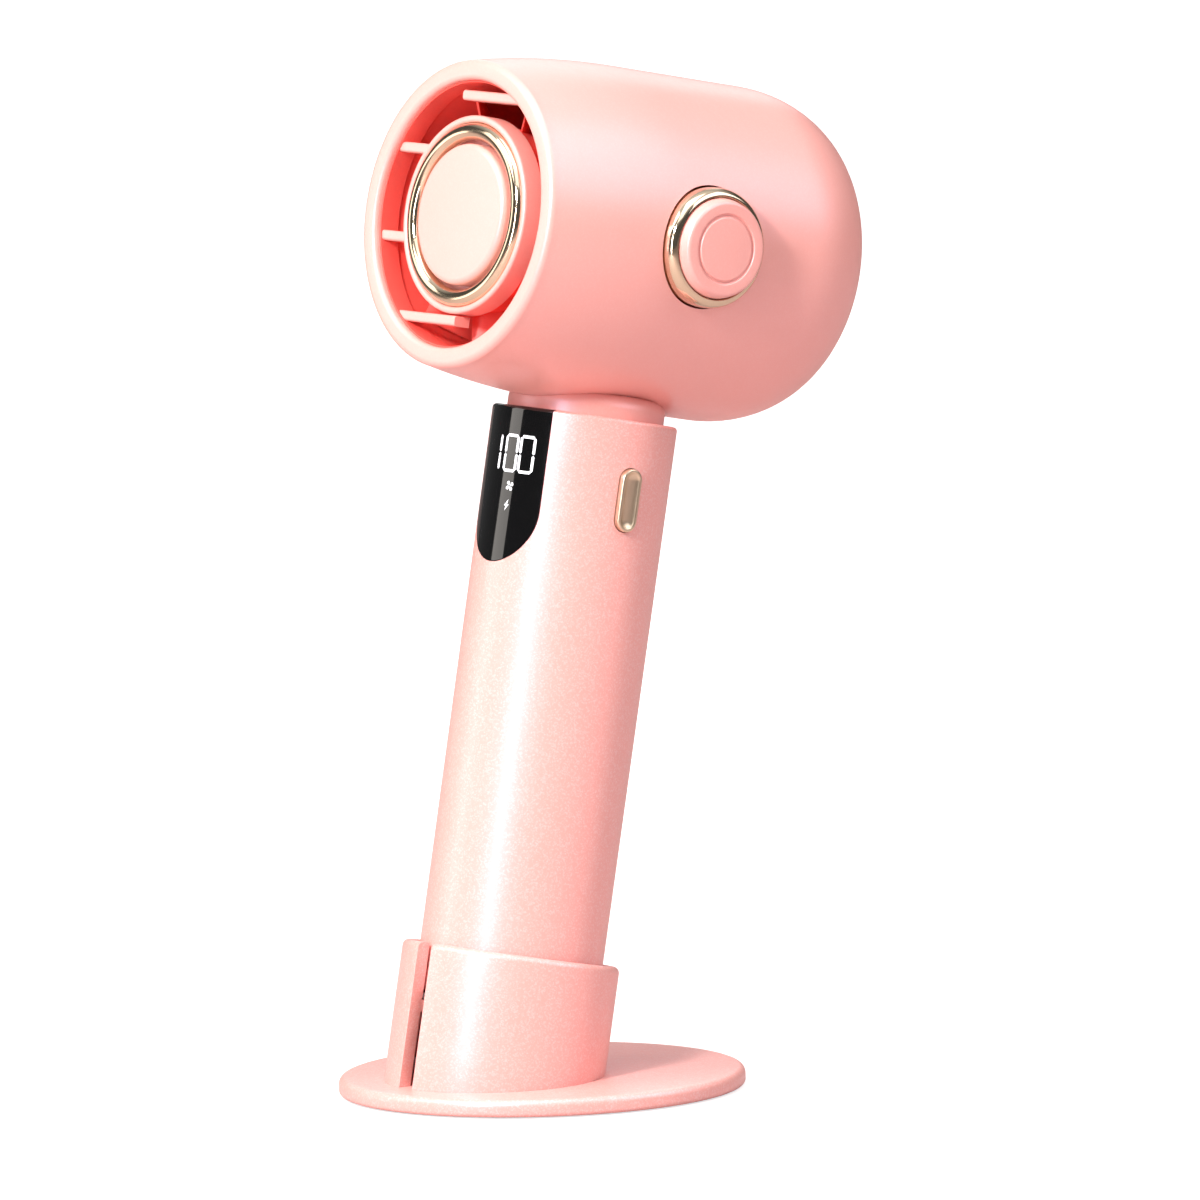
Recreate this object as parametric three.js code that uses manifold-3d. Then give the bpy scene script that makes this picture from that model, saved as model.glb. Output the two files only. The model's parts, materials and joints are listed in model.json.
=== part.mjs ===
// A cordless hand-held hair dryer without a heater (a turbo fan) standing in its desk stand.
// Millimetres, +Z up. The air outlet faces -Y, the speed dial and the power button face +X.
// The origin is the centre of the stand's underside.

import * as THREE from "three";
import { mergeVertices } from "three/addons/utils/BufferGeometryUtils.js";
import Module from "manifold-3d";

const wasm = await Module();
wasm.setup();

// ---------------------------------------------------------------- driving dimensions

const GAP = 0.3; // clearance between neighbouring pieces
const FINE = 32; // sides of the large round pieces
const COARSE = 14; // sides of the small and hidden round pieces
const OVAL = 20; // half the sides of the stand's ovals

// stand
const PLATE_HALF_LENGTH = 42;
const PLATE_HALF_WIDTH = 40.9;
const PLATE_TOP = 3.9;
const PLATE_EDGE_RADIUS = 1.2;
const PAD_THICKNESS = 1;
const PAD_INSET = 3;
const BALLAST_THICKNESS = 1;
const BALLAST_INSET = 6;
const LEAN = THREE.MathUtils.degToRad(11.6); // how far the handset leans back
const FOOT_FORWARD = 12.9; // where the handle's axis meets the ground, ahead of the plate's centre
const COLLAR_WALL = 2.8;
const COLLAR_TOP = 29.5;
const COLLAR_EDGE_RADIUS = 1.4;
const COLLAR_CLEARANCE = 0.5; // radial play of the handle in the collar
const SLOT_WIDTH = 4.4;
const SHELF_THICKNESS = 2.4;
const SHELF_BORE = 13;
const SEAT_THICKNESS = 1.2;
const SCREW_RADIUS = 1.3;
const SCREW_HEAD_RADIUS = 2.4;
const SCREW_HEAD_HEIGHT = 1;
const SCREW_REACH = 5; // how far a stand screw stands into its boss
const BOSS_RADIUS = 3.1;
const BOSS_HEIGHT = 6;
const BOSS_ANGLES = [90, 210, 330].map(THREE.MathUtils.degToRad);

// handle
const HANDLE_RADIUS = 19;
const HANDLE_TAPER = 0.2; // how much slimmer the handle is at its bottom
const HANDLE_BOTTOM = 19.5;
const HANDLE_LENGTH = 120.7;
const HANDLE_WALL = 1.8;
const HANDLE_EDGE_RADIUS = 0.8;
const ROOF_THICKNESS = 2;
const CAP_HEIGHT = 4.5;
const CAP_SPIGOT = 5.5;
const NECK_INSET = 2.9; // how far the neck stands inside the handle's outline
const NECK_GAP = 2.1; // from the handle's rim to the lowest line of the barrel
const NECK_ROUND = 3;
const WIRE_BORE = 8;
const NECK_SCREW_OFFSET = 12.4;
const NECK_SCREW_RADIUS = 1.2;
const NECK_SCREW_HEAD_RADIUS = 2.3;
const NECK_SCREW_HEAD_HEIGHT = 1.6;
const CAP_EDGE_RADIUS = 1;
const CAP_FLOOR = 2;

// display, button, battery and boards in the handle
const WINDOW_THICKNESS = 1.6;
const WINDOW_HEIGHT = 32;
const WINDOW_HALF_ANGLE = THREE.MathUtils.degToRad(32);
const WINDOW_ROUND = 11;
const BUTTON_BELOW_TOP = 16.2; // from the handle's rim down to the button's middle
const BUTTON_FORWARD = 0.8;
const BUTTON_LENGTH = 13;
const BUTTON_WIDTH = 4.9;
const BUTTON_PROUD = 1;
const BUTTON_EDGE = 0.5;
const BUTTON_TRAVEL = 0.8;
const BUTTON_RIM = 0.7;
const BUTTON_DISH_DEPTH = 0.45;
const BUTTON_DISH_RADIUS = 5;
const BUTTON_FLANGE = 0.8;
const SWITCH_SIDE = 4.4;
const SWITCH_HEIGHT = 3;
const SWITCH_STEM_RADIUS = 1.7;
const SWITCH_STEM_LENGTH = 1.2;
const BUTTON_BOARD_LENGTH = 20;
const BUTTON_BOARD_WIDTH = 10;
const SMALL_BOARD_THICKNESS = 1;
const BATTERY_RADIUS = 10.6;
const BATTERY_LENGTH = 70;
const BATTERY_RISE = 17.5; // from the handle's bottom to the cell's
const CRADLE_WALL = 1.2;
const CRADLE_CLEARANCE = 0.7; // between the cradle and the back of the handle's bore
const CONTACT_THICKNESS = 0.4;
const CONTACT_RADIUS = 6;
const BOARD_THICKNESS = 1.2;
const MAIN_BOARD_WIDTH = 22;
const MAIN_BOARD_AHEAD = 4; // in front of the cell
const CHIP_HEIGHT = 1.6;
// each chip's x, z, width and height
const CHIPS = [[-5, 24, 6, 7], [5, 22, 5, 5], [0, 4, 7, 7], [-5, -18, 5, 6], [6, -20, 6, 8]];
const CHARGE_BOARD_INSET = 2.2; // inside the handle's bore
const DISPLAY_BOARD_WIDTH = 16;
const DISPLAY_MODULE_WIDTH = 11;
const PORT_LENGTH = 8.9;
const PORT_WIDTH = 3.3;
const PORT_WALL = 0.5;
const PORT_DEPTH = 7;

// barrel, measured along its own axis from the front plane
const BARREL_AHEAD = 39.7;
const BARREL_LENGTH = 86.4;
const BARREL_RADIUS = 34.6;
const FLARE_RISE = 3; // how much the barrel widens behind its lip
const FLARE_LENGTH = 33;
const LIP_WIDTH = 4.2;
const LIP_EDGE_RADIUS = 1.5;
const LIP_DEPTH = 3.2;
const BARREL_WALL = 2;
const TAIL_LENGTH = 20.4;
const TAIL_DROP = 14;
const INLET_LEDGE = 0.6; // width of the flat back around the inlet grille

// outlet grille and hub
const BAR_THICKNESS = 2.6;
const BAR_FRONT = 1.5;
// where each level bar starts and ends along X, and its height, as shares of the outlet's radius
const BARS = [[-0.2, 1.1, 0.883], [-1.1, -0.55, 0.456], [-1.1, -0.55, -0.212], [-1.1, 0.073, -0.792]];
const GRILLE_BACK = 6;
const GRILLE_RING_WALL = 0.5;
const AIR_GAP = 7.1; // between the hub and the outlet's edge
const HUB_FRONT = 1.9;
const HUB_RIM_WALL = 1.4;
const HUB_FLOOR = 5.2;
const HUB_FLOOR_THICKNESS = 1.3;
const HUB_EDGE = 0.7;
const GOLD_RING_INSET = 3.2; // from the hub's outside to the ring's middle line
const GOLD_RING_TUBE = 1.6;
const GOLD_RING_DEPTH = 2.9;
const HUB_DISC_INSET = 5.85;
const HUB_DISC_EDGE = 1.1;
const HUB_DISC_FRONT = 0.8;

// fan, motor and duct
const DUCT_WALL = 1.4;
const DUCT_BACK = 70;
const FLANGE_DEPTH = 62;
const FLANGE_THICKNESS = 2;
const FAIRING_BACK = 24;
const FAIRING_WALL = 1.4;
const FAIRING_INSET = 0.4;
const FAIRING_BULGE = 0.8;
const SWIRL_VANES = 9;
const SWIRL_VANE_LENGTH = 13;
const SWIRL_VANE_FRONT = 8;
const SWIRL_VANE_THICKNESS = 1.3;
const SWIRL_VANE_ANGLE = THREE.MathUtils.degToRad(40);
const MOTOR_SHARE = 0.68966; // the motor's radius, as a share of the hub's
const MOTOR_FRONT = 25;
const MOTOR_BACK = 50;
const MOTOR_WALL = 1.5;
const MOTOR_FLOOR = 3.4;
const MOTOR_CHAMFER = 1.5;
const VANE_INSET = 3; // from the motor's back edge to its vanes
const VANE_ROOT = 0.7; // how deep a vane stands in the wall that it grows from
const VANE_COUNT = 5;
const VANE_LENGTH = 12;
const VANE_THICKNESS = 1.4;
const VANE_TWIST = THREE.MathUtils.degToRad(24);
const SHAFT_RADIUS = 1.5;
const BEARING_RADIUS = 4;
const BEARING_WIDTH = 3;
const ROTOR_RADIUS = 5.2;
const ROTOR_LENGTH = 14;
const STATOR_TEETH = 6;
const STATOR_TOOTH_WIDTH = 2.6;
const STATOR_YOKE = 1.8;
const STATOR_INSET = 5; // from the motor's front to its stator
const AIR_GAP_OF_ROTOR = 0.5;
const BELL_INSET = 0.5;
const BELL_THICKNESS = 3;
const IMPELLER_FRONT = 53;
const IMPELLER_LENGTH = 12;
const IMPELLER_HUB_RADIUS = 11;
const IMPELLER_NOSE = 5;
const BLADE_COUNT = 7;
const BLADE_TIP_CLEARANCE = 0.7;
const BLADE_THICKNESS = 1.3;
const BLADE_ROOT_ANGLE = THREE.MathUtils.degToRad(40);
const BLADE_TWIST = THREE.MathUtils.degToRad(18);

// air inlet
const INLET_GRILLE_THICKNESS = 2;
const INLET_RING_WIDTH = 1.3;
const INLET_RING_COUNT = 4;
const INLET_SPOKES = 6;
const INLET_SPOKE_WIDTH = 1.6;
const INLET_BOSS_RADIUS = 3.2;
const FILTER_THICKNESS = 1.2;

// speed dial, measured outward from the barrel's axis
const DIAL_RADIUS = 12.3;
const DIAL_PROUD = 2.4; // how far the skirt stands out of the barrel
const DIAL_CROWN = 2.6; // height of the skirt's rounded crown
const DIAL_SINK = 4; // how far the skirt reaches into the barrel
const DIAL_CAP_RADIUS = 10.2;
const DIAL_CAP_PROUD = 2.2; // how far the cap stands out of the skirt
const DIAL_CAP_FOOT = 1.8; // how far the cap's rim reaches into the skirt
const DIAL_CAP_TAPER = 0.6;
const DIAL_CAP_ROUND = 0.7;
const DIAL_CAP_THICKNESS = 2.3;
const DIAL_GROOVE_RADIUS = 6.8;
const DIAL_GROOVE_WIDTH = 0.9;
const DIAL_GROOVE_DEPTH = 0.45;
const DIAL_LEDGE_RADIUS = 8;
const DIAL_BOARD_RADIUS = 9;
const DIAL_POST_RADIUS = 3.2;
const DIAL_HUB_RADIUS = 5;
const DIAL_MAGNET_RADIUS = 7.6;
const DIAL_MAGNET_THICKNESS = 2;

// sizes that follow from those above
const HANDLE_TOP = HANDLE_BOTTOM + HANDLE_LENGTH;
const HANDLE_FOOT_RADIUS = HANDLE_RADIUS - HANDLE_TAPER;
const HANDLE_BORE = HANDLE_RADIUS - HANDLE_WALL;
const COLLAR_BORE = HANDLE_RADIUS + COLLAR_CLEARANCE;
const COLLAR_RADIUS = COLLAR_BORE + COLLAR_WALL;
const BARREL_HEIGHT = HANDLE_TOP + NECK_GAP + BARREL_RADIUS;
const BARREL_BORE = BARREL_RADIUS - BARREL_WALL;
const LIP_RADIUS = BARREL_RADIUS - FLARE_RISE;
const OUTLET_RADIUS = LIP_RADIUS - LIP_WIDTH;
const INLET_RADIUS = BARREL_RADIUS - TAIL_DROP - INLET_LEDGE;
const HUB_RADIUS = OUTLET_RADIUS - AIR_GAP;
const MOTOR_RADIUS = HUB_RADIUS * MOTOR_SHARE;
const DUCT_RADIUS = OUTLET_RADIUS + DUCT_WALL;
const BATTERY_BACK = HANDLE_BORE - CRADLE_CLEARANCE - CRADLE_WALL - GAP - BATTERY_RADIUS;
const CHARGE_BOARD_RADIUS = HANDLE_BORE - CHARGE_BOARD_INSET;
const BATTERY_BOTTOM = HANDLE_BOTTOM + BATTERY_RISE;
const BATTERY_TOP = BATTERY_BOTTOM + BATTERY_LENGTH;
const DIAL_SKIRT_TOP = BARREL_RADIUS + DIAL_PROUD;
const DIAL_SKIRT_BOTTOM = BARREL_RADIUS - DIAL_SINK;
const DIAL_CAP_TOP = DIAL_SKIRT_TOP + DIAL_CAP_PROUD;
const DIAL_CAP_BOTTOM = DIAL_SKIRT_TOP - DIAL_CAP_FOOT;

// ---------------------------------------------------------------- materials

const paint = (color, roughness, metalness = 0) => ({ color, roughness, metalness });
const PINK_PEARL = paint(0xf6cfca, 0.38);
const PINK_PLAIN = paint(0xf3b7ae, 0.5);
const GOLD = paint(0xc9b399, 0.22, 1);
const BLACK_GLOSS = paint(0x08080a, 0.08);
const BOARD_GREEN = paint(0x2f6b4f, 0.55);
const STEEL = paint(0xb9bcc0, 0.3, 1);
const DARK_PLASTIC = paint(0x3a3c40, 0.6);
const GREY_RUBBER = paint(0x8a7f7d, 0.85);
const MAGNET = paint(0x55565a, 0.5, 0.6);
const CELL_WRAP = paint(0x4f8fb8, 0.45);
const COPPER_BROWN = paint(0x9a5a35, 0.45, 0.7);
const LED_WHITE = paint(0xf2f4f6, 0.4);

// ---------------------------------------------------------------- geometry helpers

// The closed solid of a three.js geometry, with its faces pointing out.
function solid(geometry) {
  const bare = geometry.clone();
  bare.deleteAttribute("normal");
  bare.deleteAttribute("uv");
  const merged = mergeVertices(bare, 1e-4);
  const triVerts = new Uint32Array(merged.index.array);
  const vertProperties = merged.attributes.position.array;
  const made = new wasm.Manifold(new wasm.Mesh({ numProp: 3, vertProperties, triVerts }));
  if (made.volume() > 0) return made;
  triVerts.reverse();
  return new wasm.Manifold(new wasm.Mesh({ numProp: 3, vertProperties, triVerts }));
}

// The geometry of a solid.
function geometryOf(body) {
  const mesh = body.getMesh();
  const geometry = new THREE.BufferGeometry();
  geometry.setAttribute("position", new THREE.BufferAttribute(mesh.vertProperties, 3));
  geometry.setIndex(new THREE.BufferAttribute(mesh.triVerts, 1));
  geometry.computeVertexNormals();
  return geometry;
}

const cut = (geometry, ...tools) =>
  geometryOf(tools.reduce((body, tool) => body.subtract(solid(tool)), solid(geometry)));

const join = (...pieces) => geometryOf(pieces.map(solid).reduce((a, b) => a.add(b)));

const common = (a, b) => geometryOf(solid(a).intersect(solid(b)));

// A body turned round Z from [radius, height] points: from axis to axis, or closed on itself.
function turned(points, sides = FINE) {
  const outline = points.map(([radius, height]) => new THREE.Vector2(radius, height));
  return new THREE.LatheGeometry(outline, sides).rotateX(Math.PI / 2);
}

const rod = (radius, bottom, top, sides = COARSE) =>
  turned([[0, bottom], [radius, bottom], [radius, top], [0, top]], sides);

const pipe = (inner, outer, bottom, top, sides = FINE) =>
  turned([[inner, bottom], [outer, bottom], [outer, top], [inner, top], [inner, bottom]], sides);

const block = (width, depth, height, x, y, z) =>
  new THREE.BoxGeometry(width, depth, height).translate(x, y, z);

// A flat outline standing up from the height bottom to the height top.
function raised(shape, bottom, top, curveSegments = COARSE) {
  const options = { depth: top - bottom, bevelEnabled: false, curveSegments };
  return new THREE.ExtrudeGeometry(shape, options).translate(0, 0, bottom);
}

// Points of a rounding about (radius, height), from one angle to another in degrees.
function arc(radius, height, size, from, to, steps = 3) {
  return Array.from({ length: steps + 1 }, (_, i) => {
    const angle = THREE.MathUtils.degToRad(from + ((to - from) * i) / steps);
    return [radius + size * Math.cos(angle), height + size * Math.sin(angle)];
  });
}

// A pill outline: a straight length along X between two round ends.
function pill(length, width) {
  const radius = width / 2;
  const straight = length / 2 - radius;
  const shape = new THREE.Shape();
  shape.absarc(straight, 0, radius, -Math.PI / 2, Math.PI / 2, false);
  shape.absarc(-straight, 0, radius, Math.PI / 2, (3 * Math.PI) / 2, false);
  return shape;
}

// An oval with its length along Y and its width along X.
function oval(halfWidth, halfLength) {
  const shape = new THREE.Shape();
  shape.absellipse(0, 0, halfWidth, halfLength, 0, 2 * Math.PI, false, 0);
  return shape;
}

// A geometry built in one group's frame, carried into another group's frame.
function carried(geometry, from, to) {
  root.updateMatrixWorld(true);
  const matrix = to.matrixWorld.clone().invert().multiply(from.matrixWorld);
  return geometry.clone().applyMatrix4(matrix);
}

// ---------------------------------------------------------------- frames

const root = new THREE.Group();
const handset = new THREE.Group(); // z along the handle's axis
const barrel = new THREE.Group(); // z along the barrel's axis, from the front plane to the back
const dial = new THREE.Group(); // z outward along the dial's axis
const button = new THREE.Group(); // z outward along the button's travel, x down the handle

handset.position.set(0, -FOOT_FORWARD, 0);
handset.rotation.x = -LEAN;
barrel.position.set(0, -BARREL_AHEAD, BARREL_HEIGHT);
barrel.rotation.x = -Math.PI / 2;
dial.position.set(0, 0, BARREL_HEIGHT);
dial.rotation.y = Math.PI / 2;
button.position.set(0, -BUTTON_FORWARD, HANDLE_TOP - BUTTON_BELOW_TOP);
button.rotation.y = Math.PI / 2;
handset.add(barrel, dial, button);
root.add(handset);

function add(group, name, look, geometry) {
  const mesh = new THREE.Mesh(geometry, new THREE.MeshStandardMaterial(look));
  mesh.name = name;
  group.add(mesh);
  return mesh;
}

// ---------------------------------------------------------------- stand

const ballastBottom = PAD_THICKNESS + GAP;
const ballastTop = ballastBottom + BALLAST_THICKNESS;
const seatTop = HANDLE_BOTTOM - GAP;
const seatBottom = seatTop - SEAT_THICKNESS;
const shelfTop = seatBottom - GAP;
const shelfBottom = shelfTop - SHELF_THICKNESS;
const collarFoot = PLATE_TOP + GAP;
const belowPlate = -12; // well under the plate, where the leaning collar is cut off level
const bossReach = COLLAR_BORE - BOSS_RADIUS + 1;
const bossPlaces = BOSS_ANGLES.map((angle) => [
  bossReach * Math.cos(angle),
  bossReach * Math.sin(angle) - FOOT_FORWARD + collarFoot * Math.tan(LEAN),
]);
const slotCutter = block(SLOT_WIDTH, COLLAR_RADIUS + 2, 3 * COLLAR_TOP, 0, -COLLAR_RADIUS / 2 - 1, 0);

// An upright rod at each stand screw's place.
const atBosses = (radius, bottom, top) =>
  bossPlaces.map(([x, y]) => rod(radius, bottom, top, 10).translate(x, y, 0));

function standPlate() {
  const edge = PLATE_EDGE_RADIUS;
  const options = {
    depth: PLATE_TOP - GAP - 2 * edge,
    bevelSize: edge,
    bevelThickness: edge,
    bevelSegments: 2,
    curveSegments: OVAL,
  };
  const outline = oval(PLATE_HALF_WIDTH - edge, PLATE_HALF_LENGTH - edge);
  const body = new THREE.ExtrudeGeometry(outline, options).translate(0, 0, GAP + edge);
  const padInset = PAD_INSET - GAP;
  const padSeat = oval(PLATE_HALF_WIDTH - padInset, PLATE_HALF_LENGTH - padInset);
  const ballastInset = BALLAST_INSET - GAP;
  const ballastSeat = oval(PLATE_HALF_WIDTH - ballastInset, PLATE_HALF_LENGTH - ballastInset);
  return cut(
    body,
    raised(padSeat, -1, ballastBottom, OVAL),
    raised(ballastSeat, -1, ballastTop + GAP, OVAL),
    ...atBosses(SCREW_RADIUS + GAP, 0, PLATE_TOP + 1),
  );
}

function ballastPlate() {
  const outline = oval(PLATE_HALF_WIDTH - BALLAST_INSET, PLATE_HALF_LENGTH - BALLAST_INSET);
  const plate = raised(outline, ballastBottom, ballastTop, OVAL);
  return cut(plate, ...atBosses(SCREW_HEAD_RADIUS + GAP, 0, ballastTop + 1));
}

function standCollar() {
  const edge = COLLAR_EDGE_RADIUS;
  const wall = turned([
    [COLLAR_BORE, belowPlate],
    [COLLAR_RADIUS, belowPlate],
    ...arc(COLLAR_RADIUS - edge, COLLAR_TOP - edge, edge, 0, 90),
    ...arc(COLLAR_BORE + edge / 2, COLLAR_TOP - edge / 2, edge / 2, 90, 180, 2),
    [COLLAR_BORE, shelfTop],
    [SHELF_BORE, shelfTop],
    [SHELF_BORE, shelfBottom],
    [COLLAR_BORE, shelfBottom],
    [COLLAR_BORE, belowPlate],
  ]);
  const bosses = atBosses(BOSS_RADIUS, 0, collarFoot + BOSS_HEIGHT);
  const holes = atBosses(SCREW_RADIUS + GAP, 0, ballastTop + SCREW_REACH + GAP);
  const ground = block(200, 200, 60, 0, 0, collarFoot - 30);
  const upright = (piece) => carried(piece, root, handset);
  return cut(
    join(wall, ...bosses.map(upright)),
    ...holes.map(upright),
    upright(ground),
    slotCutter,
  );
}

const seatRing = () =>
  cut(pipe(SHELF_BORE, COLLAR_BORE - GAP, seatBottom, seatTop), slotCutter);

const standScrew = () =>
  turned([
    [0, ballastBottom],
    [SCREW_HEAD_RADIUS, ballastBottom],
    [SCREW_HEAD_RADIUS, ballastBottom + SCREW_HEAD_HEIGHT],
    [SCREW_RADIUS, ballastBottom + SCREW_HEAD_HEIGHT],
    [SCREW_RADIUS, ballastTop + SCREW_REACH],
    [0, ballastTop + SCREW_REACH],
  ], 10);

const padOutline = oval(PLATE_HALF_WIDTH - PAD_INSET, PLATE_HALF_LENGTH - PAD_INSET);
const leaning = new THREE.Group();
leaning.position.copy(handset.position);
leaning.rotation.copy(handset.rotation);
root.add(leaning);
add(root, "anti_slip_pad", GREY_RUBBER, raised(padOutline, 0, PAD_THICKNESS, OVAL));
add(root, "ballast_plate", STEEL, ballastPlate());
add(root, "stand_plate", PINK_PEARL, standPlate());
add(leaning, "stand_collar", PINK_PEARL, standCollar());
add(leaning, "seat_ring", GREY_RUBBER, seatRing());
bossPlaces.forEach(([x, y], i) => {
  const screw = add(root, `stand_screw_${i + 1}`, STEEL, standScrew());
  screw.position.set(x, y, 0);
});

// ---------------------------------------------------------------- handle

const shellBottom = HANDLE_BOTTOM + CAP_HEIGHT + GAP;
const roofBottom = HANDLE_TOP - ROOF_THICKNESS;

const spigotTop = shellBottom + CAP_SPIGOT;
const windowBottom = HANDLE_TOP - WINDOW_HEIGHT;
const windowBack = HANDLE_RADIUS - WINDOW_THICKNESS;
const atNeckScrews = (radius, bottom, top) =>
  [-NECK_SCREW_OFFSET, NECK_SCREW_OFFSET].map((x) => rod(radius, bottom, top, 10).translate(x, 0, 0));

// A prism through the handle's front with the display window's outline, grown by a margin.
function windowPrism(margin) {
  const half = HANDLE_RADIUS * Math.sin(WINDOW_HALF_ANGLE) + margin;
  const round = WINDOW_ROUND + margin;
  const shape = new THREE.Shape();
  shape.moveTo(half, WINDOW_HEIGHT + margin);
  shape.lineTo(-half, WINDOW_HEIGHT + margin);
  shape.lineTo(-half, round - margin);
  shape.absellipse(0, round - margin, half, round, Math.PI, 2 * Math.PI, false, 0);
  return raised(shape, 0, HANDLE_RADIUS + 2, 12).rotateX(Math.PI / 2).translate(0, 0, windowBottom);
}

// A pill-shaped bar along the button's travel, between two distances from the handle's axis.
const buttonBar = (margin, inner, outer) =>
  raised(pill(BUTTON_LENGTH + 2 * margin, BUTTON_WIDTH + 2 * margin), inner, outer, 8);

function handleShell() {
  const edge = HANDLE_EDGE_RADIUS;
  const shell = turned([
    [HANDLE_BORE, shellBottom],
    [HANDLE_FOOT_RADIUS, shellBottom],
    ...arc(HANDLE_RADIUS - edge, HANDLE_TOP - edge, edge, 0, 90),
    [WIRE_BORE, HANDLE_TOP],
    [WIRE_BORE, roofBottom],
    [HANDLE_BORE, roofBottom],
    [HANDLE_BORE, shellBottom],
  ]);
  const windowSeat = cut(windowPrism(GAP), rod(windowBack - GAP, 0, HANDLE_TOP + 9, FINE));
  const windowHole = cut(
    windowPrism(-GAP * 4),
    block(60, 60, ROOF_THICKNESS + 40, 0, 0, roofBottom + 20 - ROOF_THICKNESS / 2),
  );
  return cut(
    shell,
    windowSeat,
    windowHole,
    carried(buttonBar(GAP, 0, HANDLE_RADIUS + 4), button, handset),
    ...atNeckScrews(NECK_SCREW_RADIUS + GAP, roofBottom - 1, HANDLE_TOP + 1),
  );
}

function displayWindow() {
  const skin = pipe(windowBack, HANDLE_RADIUS, windowBottom - 1, HANDLE_TOP, 64);
  return common(skin, windowPrism(0));
}

function endCap() {
  const edge = CAP_EDGE_RADIUS;
  const cap = turned([
    [0, HANDLE_BOTTOM],
    ...arc(HANDLE_FOOT_RADIUS - edge, HANDLE_BOTTOM + edge, edge, -90, 0),
    [HANDLE_FOOT_RADIUS, HANDLE_BOTTOM + CAP_HEIGHT],
    [HANDLE_BORE - GAP, HANDLE_BOTTOM + CAP_HEIGHT],
    [HANDLE_BORE - GAP, spigotTop],
    [HANDLE_BORE - HANDLE_WALL, spigotTop],
    [HANDLE_BORE - HANDLE_WALL, HANDLE_BOTTOM + CAP_FLOOR],
    [0, HANDLE_BOTTOM + CAP_FLOOR],
  ]);
  const mouth = pill(PORT_LENGTH + 2 * GAP, PORT_WIDTH + 2 * GAP);
  return cut(cap, raised(mouth, HANDLE_BOTTOM - 1, HANDLE_BOTTOM + CAP_FLOOR + 1, 8));
}

function usbPort() {
  const bottom = HANDLE_BOTTOM + GAP;
  const shell = raised(pill(PORT_LENGTH, PORT_WIDTH), bottom, bottom + PORT_DEPTH, 8);
  const inside = pill(PORT_LENGTH - 2 * PORT_WALL, PORT_WIDTH - 2 * PORT_WALL);
  const hollow = raised(inside, bottom - 1, bottom + PORT_DEPTH - 1, 8);
  const depth = PORT_DEPTH - 3 * PORT_WALL;
  const middle = bottom + PORT_DEPTH - depth / 2;
  const tongue = block(PORT_LENGTH - PORT_WIDTH, PORT_WALL, depth, 0, 0, middle);
  return join(cut(shell, hollow), tongue);
}

// The open cradle that holds the cell, with a wall at each end.
function batteryCradle() {
  const inner = BATTERY_RADIUS + GAP;
  const outer = inner + CRADLE_WALL;
  const bottom = BATTERY_BOTTOM - CONTACT_THICKNESS - 2 * GAP;
  const top = BATTERY_TOP + CONTACT_THICKNESS + 2 * GAP;
  const body = turned([
    [0, bottom - CRADLE_WALL],
    [outer, bottom - CRADLE_WALL],
    [outer, top + CRADLE_WALL],
    [0, top + CRADLE_WALL],
  ]);
  const open = block(3 * outer, 2 * outer, 3 * top, 0, -BATTERY_RADIUS / 3 - outer, BATTERY_BOTTOM);
  return cut(body, rod(inner, bottom, top, FINE), open);
}

function mainBoard() {
  const middle = BATTERY_BOTTOM + BATTERY_LENGTH / 2;
  const board = block(MAIN_BOARD_WIDTH, BOARD_THICKNESS, BATTERY_LENGTH, 0, 0, middle);
  const chips = CHIPS.map(([x, z, width, height]) =>
    block(width, CHIP_HEIGHT, height, x, -BOARD_THICKNESS, middle + z));
  return join(board, ...chips);
}

const capInside = HANDLE_BORE - 2;
const switchSeat = capInside - BUTTON_TRAVEL - GAP - SWITCH_STEM_LENGTH;

function buttonSwitch() {
  const body = block(SWITCH_SIDE, SWITCH_SIDE, SWITCH_HEIGHT, 0, 0, -SWITCH_HEIGHT / 2);
  return join(body, rod(SWITCH_STEM_RADIUS, -1, SWITCH_STEM_LENGTH, 10));
}

// The button's cap: a retaining flange inside, a raised rim and a dished face outside.
function buttonCap() {
  const top = HANDLE_RADIUS + BUTTON_PROUD;
  const edge = BUTTON_EDGE;
  const stem = buttonBar(0, capInside, top - edge);
  const options = {
    depth: edge / 2,
    bevelSize: edge,
    bevelThickness: edge,
    bevelSegments: 2,
    curveSegments: 8,
  };
  const outline = pill(BUTTON_LENGTH - 2 * edge, BUTTON_WIDTH - 2 * edge);
  const rounding = new THREE.ExtrudeGeometry(outline, options).translate(0, 0, top - 1.5 * edge);
  const flange = buttonBar(BUTTON_FLANGE, capInside, capInside + BUTTON_FLANGE);
  const radius = BUTTON_DISH_RADIUS;
  const dish = new THREE.CylinderGeometry(radius, radius, 2 * BUTTON_LENGTH, 40).rotateZ(Math.PI / 2);
  const dishOutline = buttonBar(-BUTTON_RIM, top - 2, top + 2);
  const sunk = common(dish.translate(0, 0, top + radius - BUTTON_DISH_DEPTH), dishOutline);
  return cut(join(stem, rounding, flange), sunk);
}

const batteryContact = (bottom) =>
  rod(CONTACT_RADIUS, bottom, bottom + CONTACT_THICKNESS).translate(0, BATTERY_BACK, 0);

// An upright plate behind the display window, so far behind the window's front.
function displayPlate(width, height, depth) {
  const middle = windowBottom + ROOF_THICKNESS + (WINDOW_HEIGHT - 3 * ROOF_THICKNESS) / 2;
  return block(width, SMALL_BOARD_THICKNESS, height, 0, depth - HANDLE_RADIUS, middle);
}

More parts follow.
